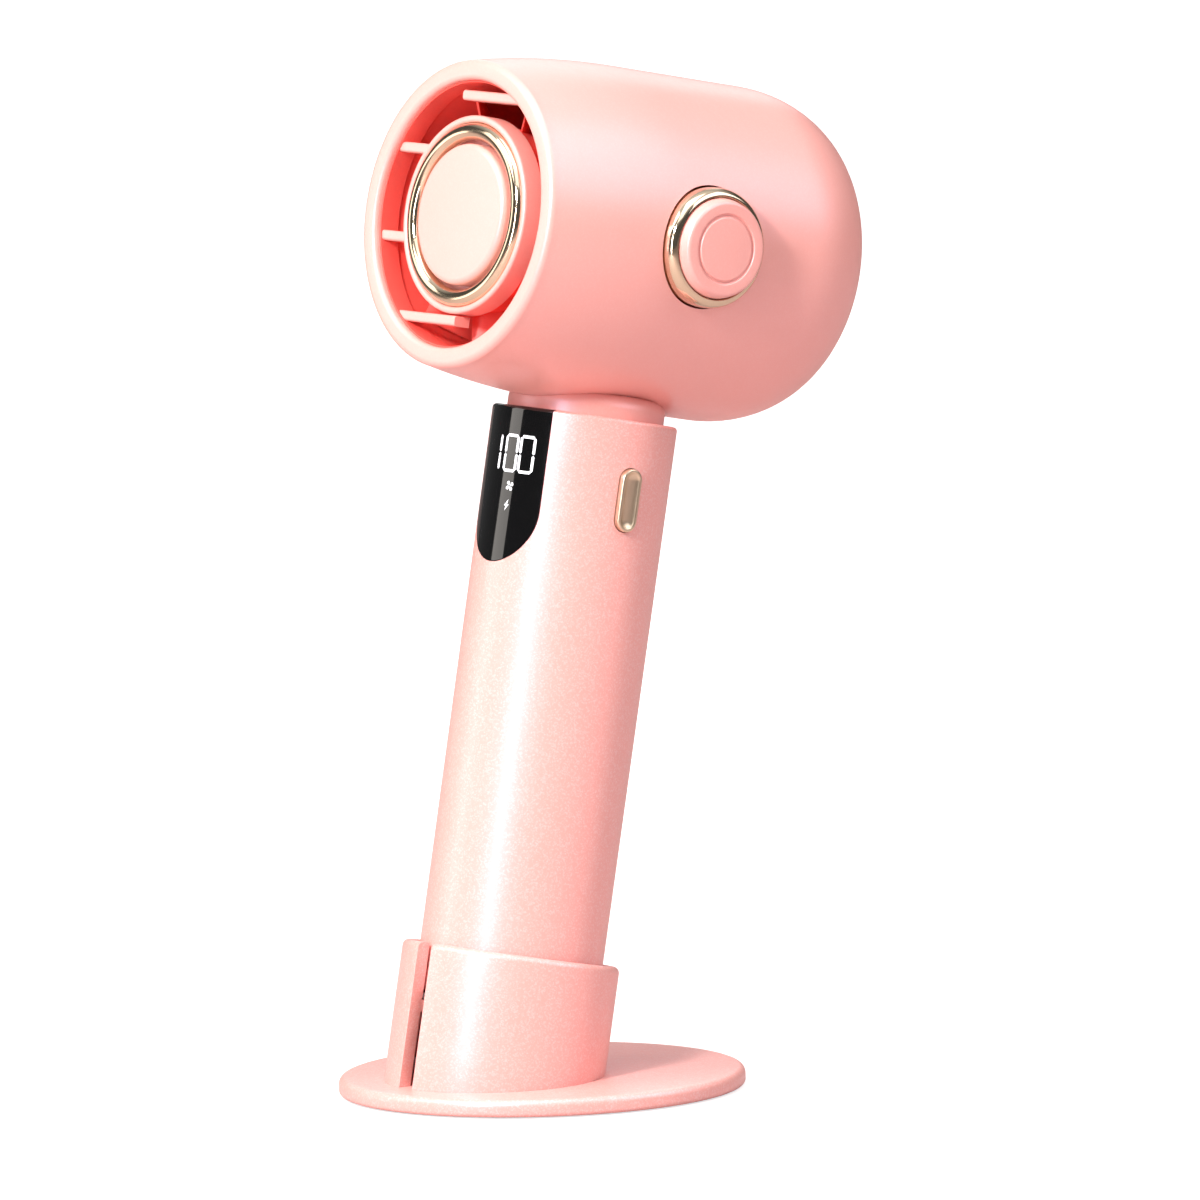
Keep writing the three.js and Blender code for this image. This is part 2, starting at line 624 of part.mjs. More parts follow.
const displayHeight = WINDOW_HEIGHT - 3 * ROOF_THICKNESS;
const moduleDepth = 2 * WINDOW_THICKNESS + SMALL_BOARD_THICKNESS / 2;
const displayBoardDepth = moduleDepth + SMALL_BOARD_THICKNESS + GAP;
const chargeBoardBottom = HANDLE_BOTTOM + PORT_DEPTH + 2 * GAP;
const buttonBoardMiddle = switchSeat - SWITCH_HEIGHT - GAP - SMALL_BOARD_THICKNESS / 2;

add(handset, "handle_shell", PINK_PEARL, handleShell());
add(handset, "handle_end_cap", PINK_PEARL, endCap());
add(handset, "usb_c_port", STEEL, usbPort());
add(handset, "charge_board", BOARD_GREEN,
  rod(CHARGE_BOARD_RADIUS, chargeBoardBottom, chargeBoardBottom + BOARD_THICKNESS));
add(handset, "battery_cell", CELL_WRAP,
  rod(BATTERY_RADIUS, BATTERY_BOTTOM, BATTERY_TOP, 40).translate(0, BATTERY_BACK, 0));
add(handset, "battery_cradle", DARK_PLASTIC, batteryCradle().translate(0, BATTERY_BACK, 0));
add(handset, "battery_contact_lower", STEEL, batteryContact(BATTERY_BOTTOM - CONTACT_THICKNESS - GAP));
add(handset, "battery_contact_upper", STEEL, batteryContact(BATTERY_TOP + GAP));
add(handset, "main_board", BOARD_GREEN,
  mainBoard().translate(0, BATTERY_BACK - BATTERY_RADIUS - MAIN_BOARD_AHEAD, 0));
add(handset, "display_window", BLACK_GLOSS, displayWindow());
add(handset, "display_module", LED_WHITE,
  displayPlate(DISPLAY_MODULE_WIDTH, displayHeight - DISPLAY_MODULE_WIDTH / 2, moduleDepth));
add(handset, "display_board", BOARD_GREEN,
  displayPlate(DISPLAY_BOARD_WIDTH, displayHeight, displayBoardDepth));
add(button, "button_switch", DARK_PLASTIC, buttonSwitch().translate(0, 0, switchSeat));
add(button, "button_board", BOARD_GREEN,
  block(BUTTON_BOARD_LENGTH, BUTTON_BOARD_WIDTH, SMALL_BOARD_THICKNESS, 0, 0, buttonBoardMiddle));
add(button, "power_button", GOLD, buttonCap());

// ---------------------------------------------------------------- barrel

const ductFront = GRILLE_BACK + GAP;
const tailStart = BARREL_LENGTH - TAIL_LENGTH;

// Points of the barrel's outside, or of a skin at some depth under it, from front to back.
function barrelOutline(depth, flareSteps = 4, tailSteps = 6) {
  const front = LIP_RADIUS - depth;
  const middle = BARREL_RADIUS - depth;
  const flare = Array.from({ length: flareSteps }, (_, i) => {
    const along = (i + 1) / flareSteps;
    const start = LIP_EDGE_RADIUS;
    return [middle - (middle - front) * (1 - along) ** 2, start + (FLARE_LENGTH - start) * along];
  });
  const tail = Array.from({ length: tailSteps + 1 }, (_, i) => {
    const angle = (Math.PI / 2) * (i / tailSteps);
    const drop = (TAIL_DROP - depth) * (1 - Math.cos(angle));
    return [middle - drop, tailStart + (TAIL_LENGTH - depth) * Math.sin(angle)];
  });
  return [...flare, ...tail];
}

// The barrel's whole body, grown by a clearance.
const barrelGrown = (clearance) =>
  turned([[0, 0], [LIP_RADIUS + clearance, 0], ...barrelOutline(-clearance), [0, BARREL_LENGTH]]);

function barrelShell() {
  const edge = LIP_EDGE_RADIUS;
  const inside = barrelOutline(BARREL_WALL, 2, 4);
  const shell = turned([
    ...arc(OUTLET_RADIUS + edge, edge, edge, 180, 270),
    ...arc(LIP_RADIUS - edge, edge, edge, -90, 0),
    ...barrelOutline(0),
    [INLET_RADIUS, BARREL_LENGTH],
    [INLET_RADIUS, BARREL_LENGTH - BARREL_WALL],
    ...inside.reverse(),
    [inside[inside.length - 1][0], LIP_DEPTH],
    [OUTLET_RADIUS, LIP_DEPTH],
    [OUTLET_RADIUS, edge],
  ]);
  const screwHoles = atNeckScrews(NECK_SCREW_RADIUS + GAP, HANDLE_TOP, BARREL_HEIGHT - DUCT_RADIUS);
  return cut(
    shell,
    carried(rod(DIAL_RADIUS + GAP, DIAL_RADIUS, 2 * BARREL_RADIUS, FINE), dial, barrel),
    carried(rod(WIRE_BORE, HANDLE_TOP, BARREL_HEIGHT - DUCT_RADIUS), handset, barrel),
    ...screwHoles.map((hole) => carried(hole, handset, barrel)),
  );
}

// The saddle between the handle's roof and the underside of the barrel, with a rounded shoulder.
function neckSaddle() {
  const radius = HANDLE_RADIUS - NECK_INSET;
  const shoulder = HANDLE_TOP + NECK_GAP;
  const top = shoulder + NECK_ROUND;
  const body = turned([
    [WIRE_BORE, HANDLE_TOP + GAP],
    [radius, HANDLE_TOP + GAP],
    ...arc(radius - NECK_ROUND, shoulder, NECK_ROUND, 0, 90),
    [WIRE_BORE, top],
    [WIRE_BORE, HANDLE_TOP + GAP],
  ]);
  return cut(
    body,
    carried(barrelGrown(GAP), barrel, handset),
    ...atNeckScrews(NECK_SCREW_RADIUS + GAP, HANDLE_TOP, BARREL_HEIGHT),
  );
}

function neckScrew() {
  const headTop = roofBottom - GAP;
  const tip = BARREL_HEIGHT - Math.sqrt(BARREL_BORE ** 2 - NECK_SCREW_OFFSET ** 2) - GAP;
  return turned([
    [0, headTop - NECK_SCREW_HEAD_HEIGHT],
    [NECK_SCREW_HEAD_RADIUS, headTop - NECK_SCREW_HEAD_HEIGHT],
    [NECK_SCREW_HEAD_RADIUS, headTop],
    [NECK_SCREW_RADIUS, headTop],
    [NECK_SCREW_RADIUS, tip],
    [0, tip],
  ], 10);
}

function ductLiner() {
  return turned([
    [OUTLET_RADIUS, ductFront],
    [DUCT_RADIUS, ductFront],
    [DUCT_RADIUS, FLANGE_DEPTH],
    [BARREL_BORE - GAP, FLANGE_DEPTH],
    [BARREL_BORE - GAP, FLANGE_DEPTH + FLANGE_THICKNESS],
    [DUCT_RADIUS, FLANGE_DEPTH + FLANGE_THICKNESS],
    [DUCT_RADIUS, DUCT_BACK],
    [OUTLET_RADIUS, DUCT_BACK],
    [OUTLET_RADIUS, ductFront],
  ]);
}

// The outlet grille: a seat ring behind the lip, level bars into the air gap, and the hub's cup.
function outletGrille() {
  const reach = OUTLET_RADIUS - GAP;
  const seat = pipe(reach - GRILLE_RING_WALL, DUCT_RADIUS, LIP_DEPTH + GAP, GRILLE_BACK);
  const root = pipe(reach - GRILLE_RING_WALL, reach, BAR_FRONT + 2, GRILLE_BACK);
  const depth = GRILLE_BACK - BAR_FRONT;
  const bars = BARS.map((shares) => {
    const [from, to, height] = shares.map((share) => share * OUTLET_RADIUS);
    return block(to - from, BAR_THICKNESS, depth, (from + to) / 2, -height, BAR_FRONT + depth / 2);
  });
  const rim = HUB_RADIUS - HUB_RIM_WALL;
  const cup = turned([
    [0, HUB_FLOOR],
    [rim, HUB_FLOOR],
    ...arc(rim + HUB_EDGE, HUB_FRONT + HUB_EDGE, HUB_EDGE, 180, 270, 2),
    ...arc(HUB_RADIUS - HUB_EDGE, HUB_FRONT + HUB_EDGE, HUB_EDGE, -90, 0, 1),
    [HUB_RADIUS, HUB_FLOOR + HUB_FLOOR_THICKNESS],
    [0, HUB_FLOOR + HUB_FLOOR_THICKNESS],
  ]);
  const inGap = common(join(...bars), rod(reach, 0, GRILLE_BACK, FINE));
  const outsideHub = cut(inGap, rod(HUB_RADIUS - HUB_RIM_WALL / 2, 0, GRILLE_BACK + 1, FINE));
  return join(seat, root, outsideHub, cup);
}

const goldRing = () =>
  turned(arc(HUB_RADIUS - GOLD_RING_INSET, GOLD_RING_DEPTH, GOLD_RING_TUBE, 0, 360, 8));

function hubDisc() {
  const radius = HUB_RADIUS - HUB_DISC_INSET;
  const round = HUB_DISC_EDGE;
  const back = HUB_FLOOR - GAP;
  return turned([
    [0, HUB_DISC_FRONT],
    ...arc(radius - round, HUB_DISC_FRONT + round, round, -90, 0),
    [radius, back],
    [0, back],
  ]);
}

add(barrel, "barrel_shell", PINK_PEARL, barrelShell());
add(handset, "neck_saddle", PINK_PEARL, neckSaddle());
add(handset, "neck_screw_1", STEEL, neckScrew().translate(-NECK_SCREW_OFFSET, 0, 0));
add(handset, "neck_screw_2", STEEL, neckScrew().translate(NECK_SCREW_OFFSET, 0, 0));
add(barrel, "duct_liner", PINK_PLAIN, ductLiner());
add(barrel, "outlet_grille", PINK_PLAIN, outletGrille());
add(barrel, "hub_gold_ring", GOLD, goldRing());
add(barrel, "hub_disc", PINK_PEARL, hubDisc());

// ---------------------------------------------------------------- motor and fan

const fairingFront = HUB_FLOOR + HUB_FLOOR_THICKNESS + GAP;
const floorFront = MOTOR_BACK - MOTOR_FLOOR;
const bearingSeat = BEARING_RADIUS + GAP;

// A flat blade standing out along +X, twisted about its length and pitched about X.
function blade(root, tip, length, thickness, rootAngle, twist) {
  const steps = 2;
  const plate = new THREE.BoxGeometry(tip - root, thickness, length, steps, 1, 1);
  plate.translate((root + tip) / 2, 0, 0);
  const points = plate.attributes.position;
  for (let i = 0; i < points.count; i += 1) {
    const along = (points.getX(i) - root) / (tip - root);
    const angle = rootAngle + twist * along;
    const [y, z] = [points.getY(i), points.getZ(i)];
    points.setY(i, y * Math.cos(angle) - z * Math.sin(angle));
    points.setZ(i, y * Math.sin(angle) + z * Math.cos(angle));
  }
  return plate;
}

const around = (count, piece) =>
  Array.from({ length: count }, (_, i) => piece.clone().rotateZ((2 * Math.PI * i) / count));

function motorHousing() {
  const cup = turned([
    [MOTOR_RADIUS - MOTOR_WALL, MOTOR_FRONT],
    [MOTOR_RADIUS, MOTOR_FRONT],
    [MOTOR_RADIUS, MOTOR_BACK - MOTOR_CHAMFER],
    [MOTOR_RADIUS - MOTOR_CHAMFER, MOTOR_BACK],
    [bearingSeat, MOTOR_BACK],
    [bearingSeat, floorFront],
    [MOTOR_RADIUS - MOTOR_WALL, floorFront],
    [MOTOR_RADIUS - MOTOR_WALL, MOTOR_FRONT],
  ]);
  const root = MOTOR_RADIUS - VANE_ROOT;
  const middle = MOTOR_BACK - VANE_INSET - VANE_LENGTH / 2;
  const vane = blade(root, OUTLET_RADIUS - GAP, VANE_LENGTH, VANE_THICKNESS, 0, VANE_TWIST);
  return join(cup, ...around(VANE_COUNT, vane.translate(0, 0, middle)));
}

// The taper behind the hub, with the swirl vanes that hold it in the duct.
function hubFairing() {
  const front = HUB_RADIUS - FAIRING_INSET;
  const back = MOTOR_RADIUS;
  const waist = (front + back) / 2 + FAIRING_BULGE;
  const middle = (fairingFront + FAIRING_BACK) / 2;
  const cone = turned([
    [front - FAIRING_WALL, fairingFront],
    [front, fairingFront],
    [waist, middle],
    [back, FAIRING_BACK],
    [back - FAIRING_WALL, FAIRING_BACK],
    [waist - FAIRING_WALL, middle],
    [front - FAIRING_WALL, fairingFront],
  ]);
  const inside = turned([[0, fairingFront], [front - VANE_ROOT, fairingFront], [waist - VANE_ROOT, middle],
    [back - VANE_ROOT, FAIRING_BACK], [0, FAIRING_BACK]]);
  const depth = SWIRL_VANE_LENGTH * Math.cos(SWIRL_VANE_ANGLE);
  const tip = OUTLET_RADIUS - GAP;
  const vane = blade(back, tip, SWIRL_VANE_LENGTH, SWIRL_VANE_THICKNESS, SWIRL_VANE_ANGLE, 0)
    .translate(0, 0, SWIRL_VANE_FRONT + depth / 2);
  const vanes = common(join(...around(SWIRL_VANES, vane)), rod(tip, 0, FAIRING_BACK, FINE));
  return join(cone, cut(vanes, inside));
}

const statorFront = MOTOR_FRONT + STATOR_INSET;
const statorBack = statorFront + ROTOR_LENGTH;
const motorBore = MOTOR_RADIUS - MOTOR_WALL - GAP;

function statorCore() {
  const yoke = pipe(motorBore - STATOR_YOKE, motorBore, statorFront, statorBack, 36);
  const inner = ROTOR_RADIUS + AIR_GAP_OF_ROTOR;
  const outer = motorBore - STATOR_YOKE / 2;
  const middle = (statorFront + statorBack) / 2;
  const tooth = block(outer - inner, STATOR_TOOTH_WIDTH, ROTOR_LENGTH, (outer + inner) / 2, 0, middle);
  return join(yoke, ...around(STATOR_TEETH, tooth));
}

const bearing = (front) =>
  pipe(SHAFT_RADIUS + GAP, BEARING_RADIUS, front, front + BEARING_WIDTH, COARSE);

const rotorMagnet = () =>
  pipe(SHAFT_RADIUS + GAP, ROTOR_RADIUS, statorFront, statorBack, COARSE);

const bellFront = MOTOR_FRONT + BELL_INSET;
const endBell = () => pipe(bearingSeat, motorBore, bellFront, bellFront + BELL_THICKNESS, 36);

function impeller() {
  const back = IMPELLER_FRONT + IMPELLER_LENGTH;
  const hub = turned([
    [SHAFT_RADIUS + GAP, IMPELLER_FRONT],
    [IMPELLER_HUB_RADIUS, IMPELLER_FRONT],
    [IMPELLER_HUB_RADIUS, back],
    [IMPELLER_HUB_RADIUS * 0.86, back + IMPELLER_NOSE * 0.5],
    [IMPELLER_HUB_RADIUS * 0.5, back + IMPELLER_NOSE * 0.87],
    [0, back + IMPELLER_NOSE],
    [0, back + 1],
    [SHAFT_RADIUS + GAP, back + 1],
    [SHAFT_RADIUS + GAP, IMPELLER_FRONT],
  ], 36);
  const root = IMPELLER_HUB_RADIUS - 2 * VANE_ROOT;
  const tip = OUTLET_RADIUS - BLADE_TIP_CLEARANCE;
  const chord = IMPELLER_LENGTH / Math.cos(BLADE_ROOT_ANGLE);
  const middle = IMPELLER_FRONT + IMPELLER_LENGTH / 2;
  const one = blade(root, tip, chord, BLADE_THICKNESS, BLADE_ROOT_ANGLE, BLADE_TWIST).translate(0, 0, middle);
  const envelope = pipe(root - 1, tip, IMPELLER_FRONT, back);
  return join(hub, ...around(BLADE_COUNT, common(one, envelope)));
}

// The inlet grille: thin rings about a centre boss, held by spokes, flush with the barrel's flat back.
function inletGrille() {
  const rim = INLET_RADIUS - GAP;
  const pitch = (rim - INLET_RING_WIDTH - INLET_BOSS_RADIUS) / (INLET_RING_COUNT - 1);
  const front = BARREL_LENGTH - INLET_GRILLE_THICKNESS;
  const ring = (i) => {
    const inner = INLET_BOSS_RADIUS + pitch * i;
    return pipe(inner, inner + INLET_RING_WIDTH, front, BARREL_LENGTH);
  };
  const rings = Array.from({ length: INLET_RING_COUNT - 1 }, (_, i) => ring(i + 1));
  const length = rim - INLET_RING_WIDTH / 2;
  const middle = front + INLET_GRILLE_THICKNESS / 2;
  const spoke = block(length, INLET_SPOKE_WIDTH, INLET_GRILLE_THICKNESS, length / 2, 0, middle);
  return join(rod(INLET_BOSS_RADIUS, front, BARREL_LENGTH), ...rings, ...around(INLET_SPOKES, spoke));
}

const driverBoardFront = fairingFront + BOARD_THICKNESS;
const filterBack = BARREL_LENGTH - INLET_GRILLE_THICKNESS - GAP;

add(barrel, "hub_fairing", PINK_PLAIN, hubFairing());
add(barrel, "motor_driver_board", BOARD_GREEN,
  rod(MOTOR_RADIUS, driverBoardFront, driverBoardFront + BOARD_THICKNESS));
add(barrel, "motor_housing", DARK_PLASTIC, motorHousing());
add(barrel, "motor_end_bell", STEEL, endBell());
add(barrel, "stator_core", COPPER_BROWN, statorCore());
add(barrel, "front_bearing", STEEL, bearing(bellFront));
add(barrel, "rear_bearing", STEEL, bearing(floorFront));
add(barrel, "rotor_magnet", MAGNET, rotorMagnet());
add(barrel, "motor_shaft", STEEL,
  rod(SHAFT_RADIUS, MOTOR_FRONT - BELL_INSET, IMPELLER_FRONT + IMPELLER_LENGTH));
add(barrel, "fan_impeller", DARK_PLASTIC, impeller());
add(barrel, "inlet_grille", PINK_PLAIN, inletGrille());
add(barrel, "inlet_filter", GREY_RUBBER,
  rod(INLET_RADIUS - GAP, filterBack - FILTER_THICKNESS, filterBack, FINE));

// ---------------------------------------------------------------- speed dial

function dialSkirt() {
  const inner = DIAL_CAP_RADIUS + GAP;
  const crown = Array.from({ length: 5 }, (_, i) => {
    const angle = (Math.PI / 2) * (i / 4);
    const radius = inner + (DIAL_RADIUS - inner) * Math.cos(angle);
    return [radius, DIAL_SKIRT_TOP - DIAL_CROWN * (1 - Math.sin(angle))];
  });
  return turned([
    [DIAL_LEDGE_RADIUS, DIAL_SKIRT_BOTTOM],
    [DIAL_RADIUS, DIAL_SKIRT_BOTTOM],
    ...crown,
    [inner, DIAL_CAP_BOTTOM - GAP],
    [DIAL_LEDGE_RADIUS, DIAL_CAP_BOTTOM - GAP],
    [DIAL_LEDGE_RADIUS, DIAL_SKIRT_BOTTOM],
  ]);
}

// The dial's cap, with a groove round its face and a hub that turns on the fixed post.
function dialCap() {
  const half = DIAL_GROOVE_WIDTH / 2;
  const groove = DIAL_CAP_TOP - DIAL_GROOVE_DEPTH;
  const inside = DIAL_CAP_TOP - DIAL_CAP_THICKNESS;
  const round = DIAL_CAP_ROUND;
  const face = DIAL_CAP_RADIUS - DIAL_CAP_TAPER - round;
  return turned([
    [0, DIAL_CAP_TOP],
    [0, inside],
    [DIAL_POST_RADIUS + GAP, inside],
    [DIAL_POST_RADIUS + GAP, DIAL_SKIRT_BOTTOM],
    [DIAL_HUB_RADIUS, DIAL_SKIRT_BOTTOM],
    [DIAL_HUB_RADIUS, DIAL_CAP_BOTTOM],
    [DIAL_CAP_RADIUS, DIAL_CAP_BOTTOM],
    [DIAL_CAP_RADIUS, DIAL_SKIRT_TOP],
    ...arc(face, DIAL_CAP_TOP - round, round, 0, 90),
    [DIAL_GROOVE_RADIUS + half, DIAL_CAP_TOP],
    [DIAL_GROOVE_RADIUS + half / 2, groove],
    [DIAL_GROOVE_RADIUS - half / 2, groove],
    [DIAL_GROOVE_RADIUS - half, DIAL_CAP_TOP],
    [0, DIAL_CAP_TOP],
  ]);
}

const dialBoardTop = DIAL_SKIRT_BOTTOM - GAP;
const dialBoardBottom = dialBoardTop - SMALL_BOARD_THICKNESS;
const dialPostTop = DIAL_CAP_TOP - DIAL_CAP_THICKNESS - GAP;
const dialMagnetBottom = DIAL_SKIRT_BOTTOM + GAP;

function dialMagnetRing() {
  const top = dialMagnetBottom + DIAL_MAGNET_THICKNESS;
  return pipe(DIAL_HUB_RADIUS + GAP, DIAL_MAGNET_RADIUS, dialMagnetBottom, top, COARSE);
}

add(dial, "dial_board", BOARD_GREEN, rod(DIAL_BOARD_RADIUS, dialBoardBottom, dialBoardTop));
add(dial, "dial_post", STEEL, rod(DIAL_POST_RADIUS, dialBoardTop + GAP, dialPostTop));
add(dial, "dial_magnet_ring", MAGNET, dialMagnetRing());
add(dial, "dial_skirt", GOLD, dialSkirt());
add(dial, "dial_cap", PINK_PEARL, dialCap());

export default root;
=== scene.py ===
"""A cordless hair-dryer-shaped hand fan standing in its desk stand, dressed around its CAD frame."""

import json
import math

import bmesh
import bpy
from bpy.props import FloatProperty, FloatVectorProperty, IntProperty, PointerProperty
from mathutils import Matrix, Vector


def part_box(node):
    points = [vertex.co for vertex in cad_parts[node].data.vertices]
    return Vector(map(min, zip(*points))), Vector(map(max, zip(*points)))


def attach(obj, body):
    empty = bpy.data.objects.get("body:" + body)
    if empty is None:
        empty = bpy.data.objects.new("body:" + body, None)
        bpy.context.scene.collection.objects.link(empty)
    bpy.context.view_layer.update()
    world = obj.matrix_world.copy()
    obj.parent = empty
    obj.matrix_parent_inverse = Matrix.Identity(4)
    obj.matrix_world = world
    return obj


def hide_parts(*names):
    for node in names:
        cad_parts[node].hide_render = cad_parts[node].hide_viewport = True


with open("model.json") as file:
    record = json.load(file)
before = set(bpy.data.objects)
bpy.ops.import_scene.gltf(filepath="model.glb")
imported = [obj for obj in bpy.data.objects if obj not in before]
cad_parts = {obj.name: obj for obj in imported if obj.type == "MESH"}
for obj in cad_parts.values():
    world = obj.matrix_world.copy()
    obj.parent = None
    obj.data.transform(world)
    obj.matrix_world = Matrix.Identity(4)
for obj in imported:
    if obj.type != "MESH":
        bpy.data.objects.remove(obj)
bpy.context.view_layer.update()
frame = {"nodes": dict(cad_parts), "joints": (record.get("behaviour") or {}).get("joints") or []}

bl_info = {
    "name": "Hand fan in its desk stand",
    "version": (1, 0, 0),
    "blender": (4, 5, 0),
    "location": "3D View > Sidebar > Hand fan",
    "description": "Builds the fine surfaces of a cordless hand fan and its stand around their CAD frame",
    "category": "Object",
}

MM = 0.001

# ------------------------------------------------------------------ the frames that the pieces are built in

JOINTS = {joint["name"]: joint for joint in frame["joints"]}
GRIP_AXIS = Vector(JOINTS["handset_lift"]["axis"]).normalized()
BARREL_AXIS = Vector(JOINTS["fan_spin"]["axis"]).normalized()
DIAL_AXIS = Vector(JOINTS["dial_turn"]["axis"]).normalized()
BARREL_MIDDLE = Vector(JOINTS["fan_spin"]["pos_m"])
GRIP_FOOT = BARREL_MIDDLE - GRIP_AXIS * (BARREL_MIDDLE.z / GRIP_AXIS.z)


def place(origin, outward, right):
    """The matrix that carries millimetres along right and outward to metres in the row's frame."""
    z = outward.normalized()
    x = right.normalized()
    turn = Matrix((x, z.cross(x), z)).transposed().to_4x4()
    return Matrix.Translation(origin) @ turn @ Matrix.Scale(MM, 4)


def along(node, origin, axis):
    """The nearest and farthest that a CAD node reaches along an axis, in millimetres from the origin."""
    reach = [(vertex.co - origin).dot(axis) / MM for vertex in frame["nodes"][node].data.vertices]
    return min(reach), max(reach)


RIGHT = Vector((1, 0, 0))
BARREL_FRONT = BARREL_MIDDLE + BARREL_AXIS * along("barrel_shell", BARREL_MIDDLE, BARREL_AXIS)[0] * MM
BUTTON_MIDDLE = sum(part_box("power_button"), Vector()) / 2
BUTTON_HEIGHT = (BUTTON_MIDDLE - GRIP_FOOT).dot(GRIP_AXIS)
BUTTON_SHIFT = (BUTTON_MIDDLE - GRIP_FOOT).dot(BARREL_AXIS)
GROUND = Matrix.Scale(MM, 4)
GRIP = place(GRIP_FOOT, GRIP_AXIS, RIGHT)
BARREL = place(BARREL_FRONT, BARREL_AXIS, RIGHT)
DIAL = place(BARREL_MIDDLE, DIAL_AXIS, -GRIP_AXIS)
BUTTON = place(GRIP_FOOT + GRIP_AXIS * BUTTON_HEIGHT + BARREL_AXIS * BUTTON_SHIFT, RIGHT, -GRIP_AXIS)

CLEARANCE = 0.3  # the gap left between neighbouring pieces, in millimetres
OUTSIDE = 30  # a radius that lies outside the grip, for tools that cut through its wall


def up_grip(node):
    """The lowest and highest reach of a CAD node along the grip, in millimetres from the grip's foot."""
    return along(node, GRIP_FOOT, GRIP_AXIS)


def into_barrel(node):
    """The nearest and farthest reach of a CAD node into the barrel, in millimetres from its front."""
    return along(node, BARREL_FRONT, BARREL_AXIS)


# ------------------------------------------------------------------ sizes that a user may change


def length(name, description, millimetres):
    """A size in metres, given by its default in millimetres."""
    return FloatProperty(name=name, description=description, default=millimetres * MM, min=0.0,
                         precision=5, subtype="DISTANCE", unit="LENGTH")


def colour(name, description, code):
    """A linear colour, given by its default as an sRGB hex code."""
    return FloatVectorProperty(name=name, description=description, default=linear(code),
                               size=4, min=0.0, max=1.0, subtype="COLOR")


def linear(code):
    """The linear colour of an sRGB hex code such as F3BDB6."""
    parts = [int(code[i:i + 2], 16) / 255 for i in (0, 2, 4)]
    return (*(p / 12.92 if p <= 0.04045 else ((p + 0.055) / 1.055) ** 2.4 for p in parts), 1.0)


class StandSizes(bpy.types.PropertyGroup):
    """Sizes of the oval desk stand."""

    plate_edge: length("Plate edge", "Rounding of the plate's rim", 1.5)
    pad_inset: length("Pad inset", "How far the rubber pad stays inside the plate", 3.0)
    collar_radius: length("Collar radius", "Outer radius of the collar", 22.3)
    collar_bore: length("Collar bore", "Inner radius of the collar", 19.5)
    collar_lip: length("Collar lip", "Rounding of the collar's top edge", 1.3)
    collar_root: length("Collar root", "Small fillet where the collar meets the plate", 0.5)
    slot_width: length("Slot width", "Width of the cable slot in the collar's front", 4.4)
    slot_edge: length("Slot edge", "Softening of the slot's edges", 0.45)
    shelf_bore: length("Shelf bore", "Inner radius of the shelf and the seat ring", 13.0)
    shelf_thickness: length("Shelf thickness", "Thickness of the shelf inside the collar", 2.4)


class GripSizes(bpy.types.PropertyGroup):
    """Sizes of the tubular grip."""

    radius: length("Radius", "Outer radius at the top of the grip", 19.0)
    foot_radius: length("Foot radius", "Outer radius at the bottom of the grip", 18.8)
    wall: length("Wall", "Thickness of the grip's wall", 1.8)
    top_edge: length("Top edge", "Rounding of the grip's top rim", 0.8)
    seam: length("Seam", "Width of the parting lines between neighbouring pieces", 0.3)
    neck_radius: length("Neck radius", "Outer radius of the neck under the barrel", 16.1)
    neck_round: length("Neck rounding", "Rounding of the neck's shoulder under the barrel", 3.0)
    wire_bore: length("Wire bore", "Radius of the wires' way through roof and neck", 8.0)


class DisplaySizes(bpy.types.PropertyGroup):
    """Sizes of the display window and its digits."""

    half_width: length("Half width", "Half of the window's width, seen from the front", 10.07)
    height: length("Height", "Height of the window", 32.0)
    round: length("Round", "Height of the window's rounded foot", 11.0)
    thickness: length("Thickness", "Thickness of the curved window", 1.6)
    digit_height: length("Digit height", "Height of the digits", 7.8)
    digit_width: length("Digit width", "Width of a digit", 3.9)
    digit_pitch: length("Digit pitch", "Distance from one digit to the next", 4.2)
    stroke: length("Stroke", "Width of a digit's segments", 0.6)
    shift: length("Shift", "How far round the digits sit towards the button side", 2.8)


class ButtonSizes(bpy.types.PropertyGroup):
    """Sizes of the pill-shaped power button."""

    length: length("Length", "Length of the pill", 13.0)
    width: length("Width", "Width of the pill", 4.9)
    edge: length("Edge", "Rounding of the outer edge", 0.45)
    rim: length("Rim", "Width of the raised rim", 0.7)
    dish: length("Dish", "Depth of the hollow face", 0.5)


class BarrelSizes(bpy.types.PropertyGroup):
    """Sizes of the barrel's shell."""

    radius: length("Radius", "Largest outer radius", 34.6)
    lip_radius: length("Lip radius", "Outer radius at the front", 31.6)
    lip_edge: length("Lip edge", "Rounding of the front lip's outer edge", 1.5)
    lip_inner_edge: length("Lip inner edge", "Rounding of the front lip's inner edge", 1.1)
    lip_depth: length("Lip depth", "Depth of the solid lip", 3.2)
    flare: length("Flare", "Length over which the barrel widens", 33.0)
    wall: length("Wall", "Thickness of the shell", 2.0)
    tail_length: length("Tail length", "Length of the rounded tail", 20.4)
    tail_drop: length("Tail drop", "How much radius the tail loses", 14.0)
    outlet_radius: length("Outlet radius", "Radius of the air outlet", 27.4)
    inlet_radius: length("Inlet radius", "Radius of the opening in the flat back", 20.0)


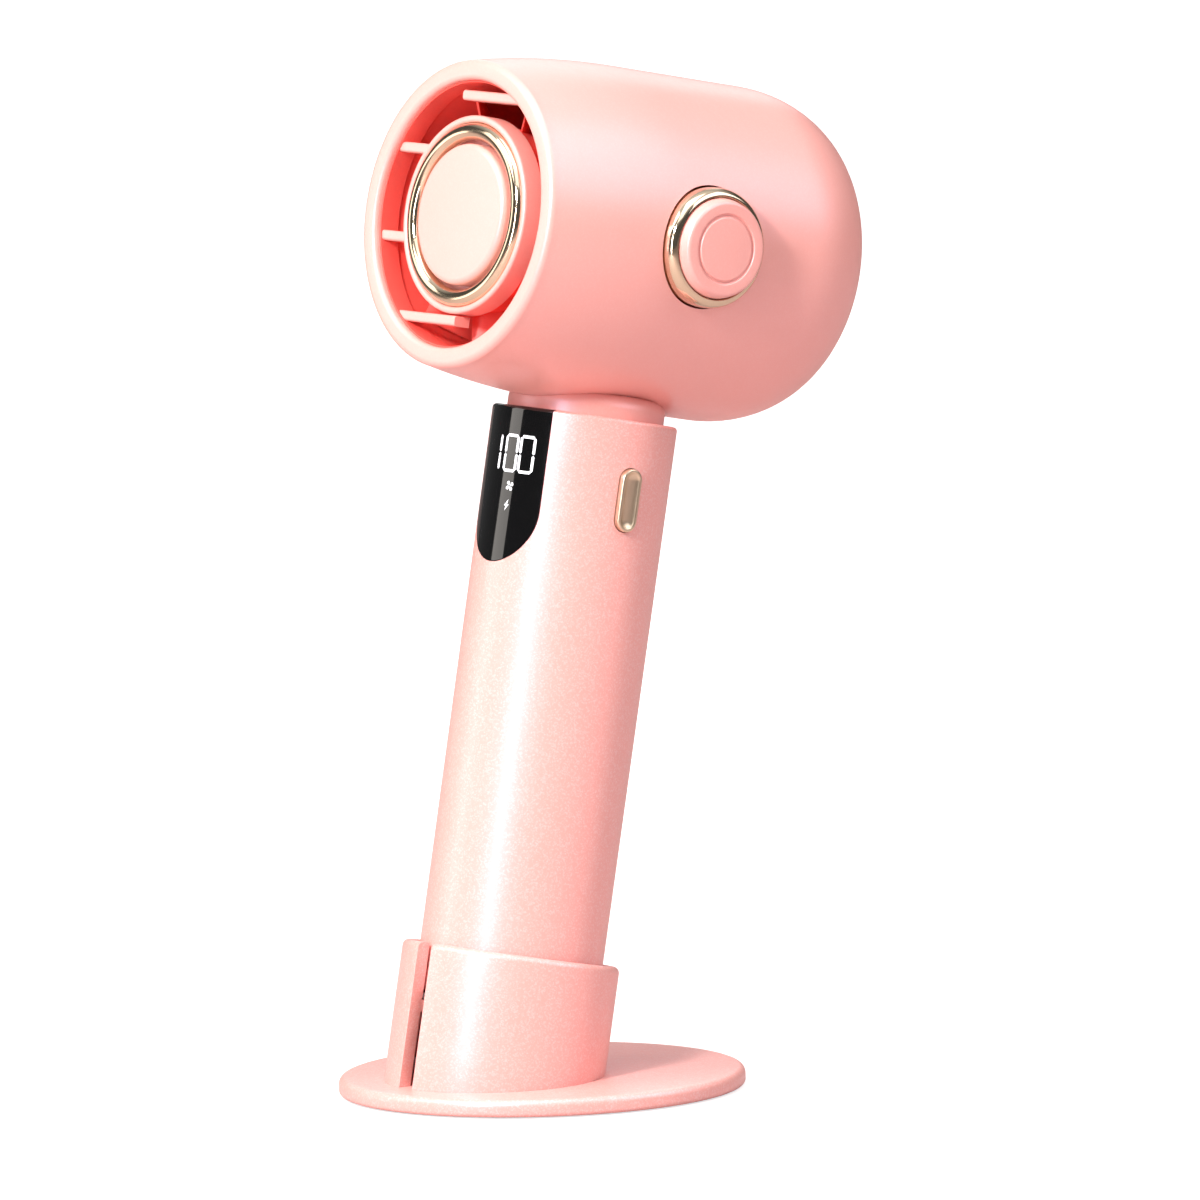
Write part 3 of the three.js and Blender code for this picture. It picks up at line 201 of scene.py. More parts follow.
class OutletSizes(bpy.types.PropertyGroup):
    """Sizes of the outlet grille and the hub."""

    bar: length("Bar", "Thickness of the level bars", 2.1)
    bar_front: length("Bar front", "Depth of the bars behind the front plane", 1.9)
    bar_edge: length("Bar edge", "Rounding of the bars' front edges", 0.6)
    back: length("Back", "Depth of the grille's back", 6.0)
    hub_radius: length("Hub radius", "Outer radius of the hub's cup", 20.3)
    hub_front: length("Hub front", "Depth of the hub cup's rim", 1.9)
    hub_wall: length("Hub wall", "Wall of the hub's cup", 1.4)
    ring_radius: length("Gold ring radius", "Radius of the gold ring's middle", 17.1)
    ring_tube: length("Gold ring tube", "Thickness radius of the gold ring", 1.8)
    ring_depth: length("Gold ring depth", "Depth of the gold ring's middle", 2.9)
    disc_radius: length("Disc radius", "Radius of the hub's face", 14.45)
    disc_front: length("Disc front", "Depth of the hub's face", 0.8)
    disc_edge: length("Disc edge", "Rounding of the hub's face", 1.3)


class AirSizes(bpy.types.PropertyGroup):
    """Sizes of the fan, the vanes and the inlet."""

    blades: IntProperty(name="Blades", description="Number of fan blades", default=7, min=3, max=15)
    vanes: IntProperty(name="Vanes", description="Number of straightening vanes", default=5, min=3, max=15)
    swirl_vanes: IntProperty(name="Swirl vanes", description="Vanes behind the hub", default=9, min=3)
    inlet_spokes: IntProperty(name="Inlet spokes", description="Spokes of the inlet grille", default=6, min=3)
    inlet_rings: IntProperty(name="Inlet rings", description="Rings of the inlet grille", default=3, min=1)
    ring_width: length("Ring width", "Width of the inlet grille's rings", 1.3)
    spoke_width: length("Spoke width", "Width of the inlet grille's spokes", 1.6)
    boss: length("Boss", "Radius of the inlet grille's middle", 3.2)


class DialSizes(bpy.types.PropertyGroup):
    """Sizes of the speed dial."""

    radius: length("Radius", "Radius of the gold skirt", 12.3)
    crown: length("Crown", "Height of the skirt's rounded crown", 2.6)
    cap_radius: length("Cap radius", "Radius of the cap's foot", 10.2)
    cap_taper: length("Cap taper", "How much slimmer the cap is at its face", 0.6)
    cap_edge: length("Cap edge", "Rounding of the cap's edge", 0.8)
    groove_radius: length("Groove radius", "Radius of the groove in the cap", 6.8)
    groove_width: length("Groove width", "Width of the groove in the cap", 0.9)
    groove_depth: length("Groove depth", "Depth of the groove in the cap", 0.45)


class FinishColours(bpy.types.PropertyGroup):
    """Colours of the finishes."""

    pearl: colour("Pearl pink", "The lacquer of grip, barrel and stand", "F3AA9E")
    pearl_flake: colour("Pearl flake", "The lightest flakes in the lacquer", "FFE9E8")
    coral: colour("Coral", "The moulded duct behind the outlet", "EC5A50")
    gold: colour("Champagne gold", "The plated trim", "E4D0B4")
    lit: colour("Lit segments", "The display's digits and symbols", "F4F6F8")


SIZE_GROUPS = {
    "stand": StandSizes,
    "grip": GripSizes,
    "display": DisplaySizes,
    "button": ButtonSizes,
    "barrel": BarrelSizes,
    "outlet": OutletSizes,
    "air": AirSizes,
    "dial": DialSizes,
}


class HandFanSettings(bpy.types.PropertyGroup):
    """Everything that a user may change."""

    stand: PointerProperty(type=StandSizes)
    grip: PointerProperty(type=GripSizes)
    display: PointerProperty(type=DisplaySizes)
    button: PointerProperty(type=ButtonSizes)
    barrel: PointerProperty(type=BarrelSizes)
    outlet: PointerProperty(type=OutletSizes)
    air: PointerProperty(type=AirSizes)
    dial: PointerProperty(type=DialSizes)
    finish: PointerProperty(type=FinishColours)


class Millimetres:
    """A settings group read in millimetres."""

    def __init__(self, group):
        self.group = getattr(bpy.context.scene.hand_fan, group)

    def __getattr__(self, name):
        value = getattr(self.group, name)
        return value if isinstance(value, int) else value / MM


# ------------------------------------------------------------------ mesh making


def arc(x, y, radius, start, end, steps=6):
    """Points on a circle about (x, y), from one angle to another in degrees."""
    angles = [math.radians(start + (end - start) * i / steps) for i in range(steps + 1)]
    return [(x + radius * math.cos(a), y + radius * math.sin(a)) for a in angles]


def rounded(corners, closed=False, steps=6):
    """An outline through corners given as (x, y) or, to be rounded off, as (x, y, radius)."""
    count = len(corners)
    outline = []
    for i, corner in enumerate(corners):
        here = Vector(corner[:2])
        radius = corner[2] if len(corner) > 2 else 0
        if radius == 0 or (not closed and i in (0, count - 1)):
            outline.append(tuple(here))
            continue
        before = (Vector(corners[i - 1][:2]) - here).normalized()
        after = (Vector(corners[(i + 1) % count][:2]) - here).normalized()
        half = before.angle(after) / 2
        middle = here + (before + after).normalized() * (radius / math.sin(half))
        first = here + before * (radius / math.tan(half)) - middle
        last = here + after * (radius / math.tan(half)) - middle
        sweep = first.angle_signed(last)
        for step in range(steps + 1):
            turn = Matrix.Rotation(-sweep * step / steps, 2)
            outline.append(tuple(middle + turn @ first))
    return outline


def piece(name, mesh, where):
    """A new object whose mesh, made in millimetres, is carried to its place with its faces outward."""
    bmesh.ops.remove_doubles(mesh, verts=mesh.verts, dist=1e-4)
    bmesh.ops.recalc_face_normals(mesh, faces=mesh.faces)
    data = bpy.data.meshes.new(name)
    mesh.to_mesh(data)
    mesh.free()
    data.transform(where)
    made = bpy.data.objects.new(name, data)
    bpy.context.scene.collection.objects.link(made)
    return made


def turned(name, outline, where, sides=160):
    """A body turned about Z from an outline of (radius, height) points: axis to axis, or closed on itself."""
    mesh = bmesh.new()
    rings = []
    for radius, height in outline:
        if radius < 1e-6:
            rings.append([mesh.verts.new((0, 0, height))] * sides)
            continue
        angles = [2 * math.pi * i / sides for i in range(sides)]
        rings.append([mesh.verts.new((radius * math.cos(a), radius * math.sin(a), height)) for a in angles])
    on_axis = outline[0][0] < 1e-6 and outline[-1][0] < 1e-6
    pairs = list(zip(rings, rings[1:]))
    if not on_axis:
        pairs.append((rings[-1], rings[0]))
    for low, high in pairs:
        for i in range(sides):
            j = (i + 1) % sides
            corners = []
            for corner in (low[i], low[j], high[j], high[i]):
                if corner not in corners:
                    corners.append(corner)
            if len(corners) > 2:
                mesh.faces.new(corners)
    return piece(name, mesh, where)


def raised(name, outline, bottom, top, where):
    """A flat outline of (x, y) points raised from one height to another."""
    mesh = bmesh.new()
    low = [mesh.verts.new((x, y, bottom)) for x, y in outline]
    high = [mesh.verts.new((x, y, top)) for x, y in outline]
    mesh.faces.new(low[::-1])
    mesh.faces.new(high)
    for i, start in enumerate(low):
        j = (i + 1) % len(low)
        mesh.faces.new((start, low[j], high[j], high[i]))
    return piece(name, mesh, where)


def block(name, centre, size, where):
    """A box about a centre."""
    (x, y, z), (w, d, h) = centre, size
    corners = [(x - w / 2, y - d / 2), (x + w / 2, y - d / 2), (x + w / 2, y + d / 2), (x - w / 2, y + d / 2)]
    return raised(name, corners, z - h / 2, z + h / 2, where)


def pill(long, wide, steps=20):
    """The outline of a pill that lies along X."""
    straight = long / 2 - wide / 2
    return arc(straight, 0, wide / 2, -90, 90, steps) + arc(-straight, 0, wide / 2, 90, 270, steps)


def worked_in(target):
    """The target with its modifiers worked into its mesh."""
    bpy.context.view_layer.update()
    graph = bpy.context.evaluated_depsgraph_get()
    result = bpy.data.meshes.new_from_object(target.evaluated_get(graph))
    target.modifiers.clear()
    old = target.data
    target.data = result
    bpy.data.meshes.remove(old)
    return target


def applied(target, kind, **settings):
    """The target with one modifier worked into its mesh."""
    modifier = target.modifiers.new(kind.title(), kind)
    for key, value in settings.items():
        setattr(modifier, key, value)
    return worked_in(target)


def shaped(target, operation, *tools):
    """The target cut by tools, joined to them or kept where they overlap it."""
    for tool in tools:
        applied(target, "BOOLEAN", operation=operation, object=tool, solver="EXACT")
        bpy.data.objects.remove(tool)
    return target


def softened(target, width, degrees=40, segments=2):
    """The target with its sharp edges rounded off by a width in millimetres."""
    return applied(target, "BEVEL", width=width * MM, segments=segments, limit_method="ANGLE",
                   angle_limit=math.radians(degrees), harden_normals=False, miter_outer="MITER_ARC")


def finished(target, material, body, slot, *nodes, sharp=32):
    """The last steps of every piece: smooth shading, finish, body and the CAD nodes it stands for; the slot
    is not used.
    """
    for polygon in target.data.polygons:
        polygon.use_smooth = True
    target.data.set_sharp_from_angle(angle=math.radians(sharp))
    target.data.materials.clear()
    target.data.materials.append(material)
    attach(target, body)
    if nodes:
        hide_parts(*nodes)
    return target


def joined(name, *pieces):
    """Several pieces made one object, without any cut between them."""
    mesh = bmesh.new()
    for part in pieces:
        mesh.from_mesh(part.data)
        bpy.data.objects.remove(part)
    data = bpy.data.meshes.new(name)
    mesh.to_mesh(data)
    mesh.free()
    made = bpy.data.objects.new(name, data)
    bpy.context.scene.collection.objects.link(made)
    return made


# ------------------------------------------------------------------ repeats, in Geometry Nodes


def add_node(tree, kind, links=(), **settings):
    """A new node in a tree, with its settings and with (input, source socket or value) links."""
    node = tree.nodes.new(kind)
    for key, value in settings.items():
        setattr(node, key, value)
    for name, source in links:
        if isinstance(source, bpy.types.NodeSocket):
            tree.links.new(source, node.inputs[name])
        else:
            node.inputs[name].default_value = source
    return node


def ring_tree():
    """Copies of a piece turned about the Z axis in even steps, as blades, vanes and spokes are."""
    tree = bpy.data.node_groups.new("even_ring_of_copies", "GeometryNodeTree")
    face = tree.interface
    face.new_socket("Piece", in_out="INPUT", socket_type="NodeSocketGeometry")
    face.new_socket("Copies", in_out="INPUT", socket_type="NodeSocketInt")
    face.new_socket("First turn", in_out="INPUT", socket_type="NodeSocketFloat")
    face.new_socket("Finish", in_out="INPUT", socket_type="NodeSocketMaterial")
    face.new_socket("Ring", in_out="OUTPUT", socket_type="NodeSocketGeometry")
    given = add_node(tree, "NodeGroupInput").outputs
    points = add_node(tree, "GeometryNodePoints", [("Count", given["Copies"])])
    index = add_node(tree, "GeometryNodeInputIndex")
    step = add_node(tree, "ShaderNodeMath", [(0, 2 * math.pi), (1, given["Copies"])], operation="DIVIDE")
    turn = add_node(tree, "ShaderNodeMath", [
        (0, index.outputs[0]), (1, step.outputs[0]), (2, given["First turn"])], operation="MULTIPLY_ADD")
    angles = add_node(tree, "ShaderNodeCombineXYZ", [("Z", turn.outputs[0])])
    copies = add_node(tree, "GeometryNodeInstanceOnPoints", [
        ("Points", points.outputs[0]), ("Instance", given["Piece"]), ("Rotation", angles.outputs[0])])
    real = add_node(tree, "GeometryNodeRealizeInstances", [("Geometry", copies.outputs[0])])
    dressed = add_node(tree, "GeometryNodeSetMaterial",
                       [("Geometry", real.outputs[0]), ("Material", given["Finish"])])
    add_node(tree, "NodeGroupOutput", [("Ring", dressed.outputs[0])])
    return tree


def ring_of(piece_made, copies, where, material, first_turn=0.0):
    """The piece, made in millimetres about the Z axis, repeated round it and carried to its place."""
    tree = bpy.data.node_groups.get("even_ring_of_copies") or ring_tree()
    modifier = piece_made.modifiers.new("Ring", "NODES")
    modifier.node_group = tree
    inputs = {item.name: item.identifier for item in tree.interface.items_tree if item.in_out == "INPUT"}
    modifier[inputs["Copies"]] = copies
    modifier[inputs["First turn"]] = first_turn
    modifier[inputs["Finish"]] = material
    worked_in(piece_made).data.transform(where)
    return piece_made


# ------------------------------------------------------------------ finishes


def surface(name, shade, **sockets):
    """A new material with its tree and shader, whose constants are set on the shader's own sockets."""
    material = bpy.data.materials.new(name)
    material.use_nodes = True
    tree = material.node_tree
    tree.nodes.clear()
    shader = add_node(tree, "ShaderNodeBsdfPrincipled", [("Base Color", shade)])
    for socket, value in sockets.items():
        shader.inputs[socket.replace("_", " ")].default_value = value
    add_node(tree, "ShaderNodeOutputMaterial", [("Surface", shader.outputs[0])])
    return material, tree, shader


def grit(millimetres):
    """The scale of a texture in Object coordinates whose grain is this wide."""
    return 1 / (millimetres * MM)


def pattern(tree, kind, grain, stretch=(1, 1, 1), **settings):
    """A noise, Voronoi or wave texture on Object coordinates, with its grain in millimetres."""
    spot = add_node(tree, "ShaderNodeTexCoord").outputs["Object"]
    spot = add_node(tree, "ShaderNodeMapping", [("Vector", spot), ("Scale", stretch)]).outputs[0]
    return add_node(tree, kind, [("Vector", spot), ("Scale", grit(grain))], **settings)


def span(tree, source, low, high, start=0.0, stop=1.0):
    """A value read from between two ends and spread between two others."""
    return add_node(tree, "ShaderNodeMapRange", [("Value", source), ("From Min", low), ("From Max", high),
                                                 ("To Min", start), ("To Max", stop)]).outputs[0]


def two_tones(tree, shader, factor, first, second):
    """The shader's colour, mixed between two tones by a pattern."""
    mix = add_node(tree, "ShaderNodeMix", data_type="RGBA")
    tree.links.new(factor, mix.inputs["Factor"])
    mix.inputs[6].default_value = first
    mix.inputs[7].default_value = second
    tree.links.new(mix.outputs[2], shader.inputs["Base Color"])


def relief(tree, shader, height, strength, depth):
    """Raised and sunk places of a given depth in millimetres."""
    bump = add_node(tree, "ShaderNodeBump", [
        ("Height", height), ("Strength", strength), ("Distance", depth * MM)])
    tree.links.new(bump.outputs[0], shader.inputs["Normal"])


def pearl_lacquer(name, flake):
    """Pearlescent satin lacquer on ABS: deep pink in shade, with a broad pale sheen of mica in the light."""
    colours = bpy.context.scene.hand_fan.finish
    material, tree, shader = surface(name, colours.pearl, IOR=2.0, Coat_Weight=0.2, Coat_Roughness=0.25)
    shader.inputs["Specular Tint"].default_value = linear("F4E6FF")
    cells = pattern(tree, "ShaderNodeTexVoronoi", 0.28)
    lone = add_node(tree, "ShaderNodeSeparateColor", [("Color", cells.outputs["Color"])])
    glint = span(tree, lone.outputs[0], 0.5, 1.0, 0.0, flake)
    two_tones(tree, shader, glint, tuple(colours.pearl), tuple(colours.pearl_flake))
    orange_peel = pattern(tree, "ShaderNodeTexNoise", 1.6)
    tree.links.new(span(tree, orange_peel.outputs[0], 0.3, 0.7, 0.34, 0.42), shader.inputs["Roughness"])
    relief(tree, shader, lone.outputs[1], flake, 0.03)
    return material


def coral_abs():
    """Moulded ABS dyed in the mass: plain and slightly translucent, with the mould's faint grain."""
    shade = bpy.context.scene.hand_fan.finish.coral
    material, tree, shader = surface("coral_abs", shade, Roughness=0.48, Subsurface_Weight=0.15,
                                     Subsurface_Scale=0.002)
    shader.inputs["Subsurface Radius"].default_value = (1.0, 0.3, 0.2)
    grain = pattern(tree, "ShaderNodeTexNoise", 0.5)
    lighter = tuple(min(1, c * 1.12) for c in shade[:3])
    two_tones(tree, shader, grain.outputs[0], tuple(shade), (*lighter, 1))
    relief(tree, shader, grain.outputs[0], 0.12, 0.02)
    return material


def champagne_plating(name, roughness, brushed):
    """Champagne-gold plating over polished metal: mirror-like, with the faintest lines of the polishing."""
    shade = bpy.context.scene.hand_fan.finish.gold
    material, tree, shader = surface(name, shade, Metallic=1.0, Roughness=roughness)
    lines = pattern(tree, "ShaderNodeTexNoise", 0.35, stretch=(1, 1, 0.12))
    rubbed = span(tree, lines.outputs[0], 0.3, 0.7, roughness * 0.9, roughness * 1.1)
    tree.links.new(rubbed, shader.inputs["Roughness"])
    deeper = tuple(c * 0.95 for c in shade[:3])
    two_tones(tree, shader, lines.outputs[0], (*deeper, 1), tuple(shade))
    relief(tree, shader, lines.outputs[0], brushed, 0.003)
    return material


def smoked_acrylic():
    """Black acrylic with a hard gloss face: sharp reflections, broken by the faintest wiping marks."""
    material, tree, shader = surface("smoked_acrylic", linear("060607"), Roughness=0.05, Coat_Weight=0.6,
                                     Coat_Roughness=0.03)
    marks = pattern(tree, "ShaderNodeTexNoise", 4.0)
    tree.links.new(span(tree, marks.outputs[0], 0.35, 0.7, 0.04, 0.09), shader.inputs["Roughness"])
    return material


def lit_segments():
    """White light-emitting segments seen through the smoked window: even, with a slightly cooler heart."""
    shade = bpy.context.scene.hand_fan.finish.lit
    material, tree, shader = surface("lit_segments", shade, Roughness=0.4, Emission_Strength=0.75)
    shader.inputs["Emission Color"].default_value = shade
    dots = pattern(tree, "ShaderNodeTexNoise", 0.6)
    two_tones(tree, shader, dots.outputs[0], linear("DDE4EC"), tuple(shade))
    return material


def moulded(name, code, lighter, roughness, grain, depth=0.02):
    """Moulded or cast material with a fine even grain, such as nylon, ferrite or shrink sleeve."""
    material, tree, shader = surface(name, linear(code), Roughness=roughness)
    noise = pattern(tree, "ShaderNodeTexNoise", grain)
    two_tones(tree, shader, noise.outputs[0], linear(code), linear(lighter))
    tree.links.new(span(tree, noise.outputs[0], 0.3, 0.7, roughness * 0.9, min(1, roughness * 1.1)),
                   shader.inputs["Roughness"])
    relief(tree, shader, noise.outputs[0], 0.3, depth)
    return material


def silicone_rubber():
    """Soft silicone: matte and a little dusty, with the tiny diamond texture of an anti-slip pad."""
    material, tree, shader = surface("silicone_rubber", linear("8E817E"), Roughness=0.82, Sheen_Weight=0.25)
    dimples = pattern(tree, "ShaderNodeTexVoronoi", 1.2, distance="CHEBYCHEV")
    two_tones(tree, shader, dimples.outputs["Distance"], linear("7C706D"), linear("9A8D89"))
    relief(tree, shader, dimples.outputs["Distance"], 0.5, 0.08)
    return material


def turned_steel(name="turned_steel", code="C4C6C8"):
    """Bright steel from the lathe: fine rings of tool marks that spread the highlight."""
    material, tree, shader = surface(name, linear(code), Metallic=1.0, Roughness=0.28)
    marks = pattern(tree, "ShaderNodeTexNoise", 0.2, stretch=(1, 1, 4))
    tree.links.new(span(tree, marks.outputs[0], 0.3, 0.7, 0.2, 0.38), shader.inputs["Roughness"])
    two_tones(tree, shader, marks.outputs[0], linear("A9ACAF"), linear(code))
    relief(tree, shader, marks.outputs[0], 0.15, 0.01)
    return material


def solder_mask():
    """Green solder mask over a circuit board: glossy, with the darker shadow of copper tracks under it."""
    material, tree, shader = surface("solder_mask", linear("1F5C3B"), Roughness=0.32, Coat_Weight=0.3)
    tracks = pattern(tree, "ShaderNodeTexVoronoi", 2.2, feature="DISTANCE_TO_EDGE", distance="EUCLIDEAN")
    lines = span(tree, tracks.outputs["Distance"], 0.04, 0.08)
    two_tones(tree, shader, lines, linear("3F8A5A"), linear("1A4E33"))
    relief(tree, shader, lines, 0.3, 0.03)
    return material


def open_foam():
    """Open-cell filter foam: pale walls, with the pores between them painted dark as shade."""
    material, tree, shader = surface("open_foam", linear("6B6462"), Roughness=0.95)
    cells = pattern(tree, "ShaderNodeTexVoronoi", 0.7)
    # painted shade: the cells' middles, the pores, get a dark colour that stands in for the shade in the
    # holes
    painted_pore_shade = span(tree, cells.outputs["Distance"], 0.15, 0.55)
    two_tones(tree, shader, painted_pore_shade, linear("2B2725"), linear("8D8582"))
    relief(tree, shader, painted_pore_shade, 0.8, 0.2)
    return material


def finish_named(name):
    """The material of that name, made by its own function the first time that it is asked for."""
    makers = {
        "pearl_lacquer_grained": lambda: pearl_lacquer("pearl_lacquer_grained", 0.3),
        "pearl_lacquer_smooth": lambda: pearl_lacquer("pearl_lacquer_smooth", 0.06),
        "coral_abs": coral_abs,
        "champagne_polished": lambda: champagne_plating("champagne_polished", 0.09, 0.05),
        "champagne_satin": lambda: champagne_plating("champagne_satin", 0.34, 0.01),
        "smoked_acrylic": smoked_acrylic,
        "lit_segments": lit_segments,
        "black_nylon": lambda: moulded("black_nylon", "242528", "36383C", 0.55, 0.4),
        "silicone_rubber": silicone_rubber,
        "turned_steel": turned_steel,
        "nickel_plate": lambda: turned_steel("nickel_plate", "D9D3C6"),
        "solder_mask": solder_mask,
        "cell_sleeve": lambda: moulded("cell_sleeve", "3F86B5", "5AA0CC", 0.35, 2.5, 0.01),
        "wound_core": lambda: moulded("wound_core", "8A4A2A", "B87345", 0.4, 0.5, 0.06),
        "ferrite": lambda: moulded("ferrite", "45464A", "5A5B60", 0.6, 0.3),
        "open_foam": open_foam,
    }
    return bpy.data.materials.get(name) or makers[name]()


# ------------------------------------------------------------------ the pieces, one operator each


class Maker(bpy.types.Operator):
    """Base of the operators that make one piece or group of pieces."""

    bl_options = {"REGISTER", "UNDO"}

    def execute(self, context):
        self.make()
        return {"FINISHED"}


class HANDFAN_OT_stand(Maker):
    """Makes the oval plate, its rubber pad, the slotted collar and the seat ring."""

    bl_idname = "handfan.stand"
    bl_label = "Desk stand"

    BELOW = -12  # where the collar starts, far enough down that the plate's top trims all of its foot
    GROUND_SIZE = (200, 200, 80)  # the tool that trims it

    def make(self):
        size = Millimetres("stand")
        low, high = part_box("stand_plate")
        half_length = (high.y - low.y) / 2 / MM
        oval = GROUND @ Matrix.Diagonal(((high.x - low.x) / (high.y - low.y), 1, 1, 1))
        pad_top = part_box("anti_slip_pad")[1].z / MM
        top, bottom = high.z / MM, low.z / MM
        pearl = finish_named("pearl_lacquer_grained")
        rubber = finish_named("silicone_rubber")
        pad_edge = half_length - size.pad_inset
        plate = turned("base_plate", rounded([
            (0, pad_top + 0.1), (pad_edge + 0.2, pad_top + 0.1), (pad_edge + 0.2, bottom, 0.1),
            (half_length, bottom, 0.9), (half_length, top, size.plate_edge), (0, top)]), oval, 192)
        finished(plate, pearl, "stand", "pink_shell", "stand_plate")
        pad = turned("rubber_pad", rounded([
            (0, 0), (pad_edge, 0, 0.25), (pad_edge, pad_top, 0.1), (0, pad_top)]), oval, 192)
        finished(pad, rubber, "stand", "grey_rubber", "anti_slip_pad")
        self.collar(size, top, pearl)
        self.seat(size, rubber)

    def slot(self, size):
        """A tool that cuts the cable slot through the collar's front."""
        reach = size.collar_radius + 4
        return block("slot", (0, -reach / 2, 20), (size.slot_width, reach, 60), GRIP)

    def collar(self, size, plate_top, pearl):
        top = up_grip("stand_collar")[1]
        shelf = up_grip("seat_ring")[0] - Millimetres("grip").seam
        under = shelf - size.shelf_thickness
        outer, bore = size.collar_radius, size.collar_bore
        wall = turned("slotted_collar", rounded([
            (bore, self.BELOW), (outer, self.BELOW), (outer, 8), (outer, 16), (outer, top, size.collar_lip),
            (bore, top, 0.7), (bore, shelf), (size.shelf_bore, shelf, 0.3), (size.shelf_bore, under, 0.3),
            (bore, under)]), GRIP, 160)
        ground_middle = (0, 0, plate_top + 0.02 - self.GROUND_SIZE[2] / 2)
        ground = block("ground", ground_middle, self.GROUND_SIZE, GROUND)
        shaped(wall, "DIFFERENCE", ground, self.slot(size))
        softened(wall, size.slot_edge, 50, 3)
        finished(wall, pearl, "stand", "pink_shell", "stand_collar", sharp=50)

    def seat(self, size, rubber):
        low, high = up_grip("seat_ring")
        outer = size.collar_bore - CLEARANCE
        ring = turned("soft_seat_ring", rounded([
            (size.shelf_bore, low, 0.2), (outer, low, 0.2), (outer, high, 0.4),
            (size.shelf_bore, high, 0.4)], closed=True), GRIP, 96)
        shaped(ring, "DIFFERENCE", self.slot(size))
        finished(ring, rubber, "stand", "grey_rubber", "seat_ring")


def window_prism(size, bottom, margin):
    """A prism through the grip's front with the display window's outline, grown by a margin."""
    half = size.half_width + margin
    foot = arc(0, 0, 1, 180, 360, 40)
    outline = [(half * x, size.round + (size.round + margin) * y) for x, y in foot]
    outline += [(half, size.height + margin), (-half, size.height + margin)]
    sideways = Matrix.Translation((0, 0, bottom)) @ Matrix.Rotation(math.pi / 2, 4, "X")
    return raised("prism", outline, 2, 24, GRIP @ sideways)


class HANDFAN_OT_grip(Maker):
    """Makes the tubular grip with its window seat and button hole, the end cap and the charging socket."""

    bl_idname = "handfan.grip"
    bl_label = "Grip"

    ROOF = 2  # thickness of the grip's roof and of the end cap's floor
    MOUTH = (9.5, 3.9)  # length and width of the opening round the socket
    SOCKET = (8.9, 3.3)
    SOCKET_INSIDE = (8.1, 2.5)
    TONGUE = (6.2, 0.7)

    def make(self):
        size = Millimetres("grip")
        display = Millimetres("display")
        low, high = up_grip("handle_shell")
        bore = size.radius - size.wall
        rings = 14
        side = [(size.foot_radius + (size.radius - size.foot_radius) * i / rings,
                 low + (high - 3 - low) * i / rings) for i in range(1, rings)]
        shell = turned("grip_shell", rounded([
            (bore, low), (size.foot_radius, low, 0.15), *side, (size.radius, high, size.top_edge),
            (size.wire_bore, high, 0.3), (size.wire_bore, high - self.ROOF), (bore, high - self.ROOF)]),
            GRIP, 192)
        seat_depth = size.radius - display.thickness - size.seam
        seat = turned("seat", [
            (seat_depth, low), (OUTSIDE, low), (OUTSIDE, high + 1), (seat_depth, high + 1)], GRIP, 192)
        shaped(seat, "INTERSECT", window_prism(display, high - display.height, size.seam * 0.6))
        button = Millimetres("button")
        hole = raised("hole", pill(button.length + size.seam, button.width + size.seam), 8, OUTSIDE, BUTTON)
        shaped(shell, "DIFFERENCE", seat, hole)
        pearl = finish_named("pearl_lacquer_grained")
        finished(shell, pearl, "handset", "pink_shell", "handle_shell", sharp=38)
        self.end_cap(size, low, bore, pearl)
        self.socket()

    def end_cap(self, size, seam_height, bore, pearl):
        low, high = up_grip("handle_end_cap")
        cap_top = seam_height - 0.03
        spigot, inside, floor = bore - CLEARANCE, bore - size.wall, low + self.ROOF
        cap = turned("end_cap", rounded([
            (0, low), (size.foot_radius, low, 1.2), (size.foot_radius, cap_top, 0.15), (spigot, cap_top),
            (spigot, high, 0.2), (inside, high, 0.2), (inside, floor), (0, floor)]), GRIP, 160)
        mouth = raised("mouth", pill(*self.MOUTH), low - 1, low + 3, GRIP)
        shaped(cap, "DIFFERENCE", mouth)
        finished(cap, pearl, "handset", "pink_shell", "handle_end_cap")

    def socket(self):
        low, high = up_grip("usb_c_port")
        shell = raised("charging_socket", pill(*self.SOCKET), low, high, GRIP)
        shaped(shell, "DIFFERENCE", raised("inside", pill(*self.SOCKET_INSIDE), low - 1, high - 1, GRIP))
        tongue = block("tongue", (0, 0, (low + high) / 2 + 0.6), (*self.TONGUE, high - low - 1.4), GRIP)
        shaped(shell, "UNION", tongue)
        softened(shell, 0.1)
        finished(shell, finish_named("nickel_plate"), "handset", "steel", "usb_c_port")


class HANDFAN_OT_neck(Maker):
    """Makes the short neck, with a rounded shoulder that runs in under the barrel."""

    bl_idname = "handfan.neck"
    bl_label = "Neck"

    def make(self):
        size = Millimetres("grip")
        barrel = Millimetres("barrel")
        high = up_grip("neck_saddle")[1]
        foot = up_grip("handle_shell")[1] + 0.02
        neck = turned("neck", rounded([
            (size.wire_bore, foot), (size.neck_radius, foot), (size.neck_radius, high, size.neck_round),
            (size.wire_bore, high)], steps=12), GRIP, 192)
        outside = turned("outside", [(0, 0), *barrel_outline(barrel, -0.02), (0, 80)], BARREL, 192)
        shaped(neck, "DIFFERENCE", outside)
        finished(neck, finish_named("pearl_lacquer_smooth"), "handset", "pink_shell", "neck_saddle")


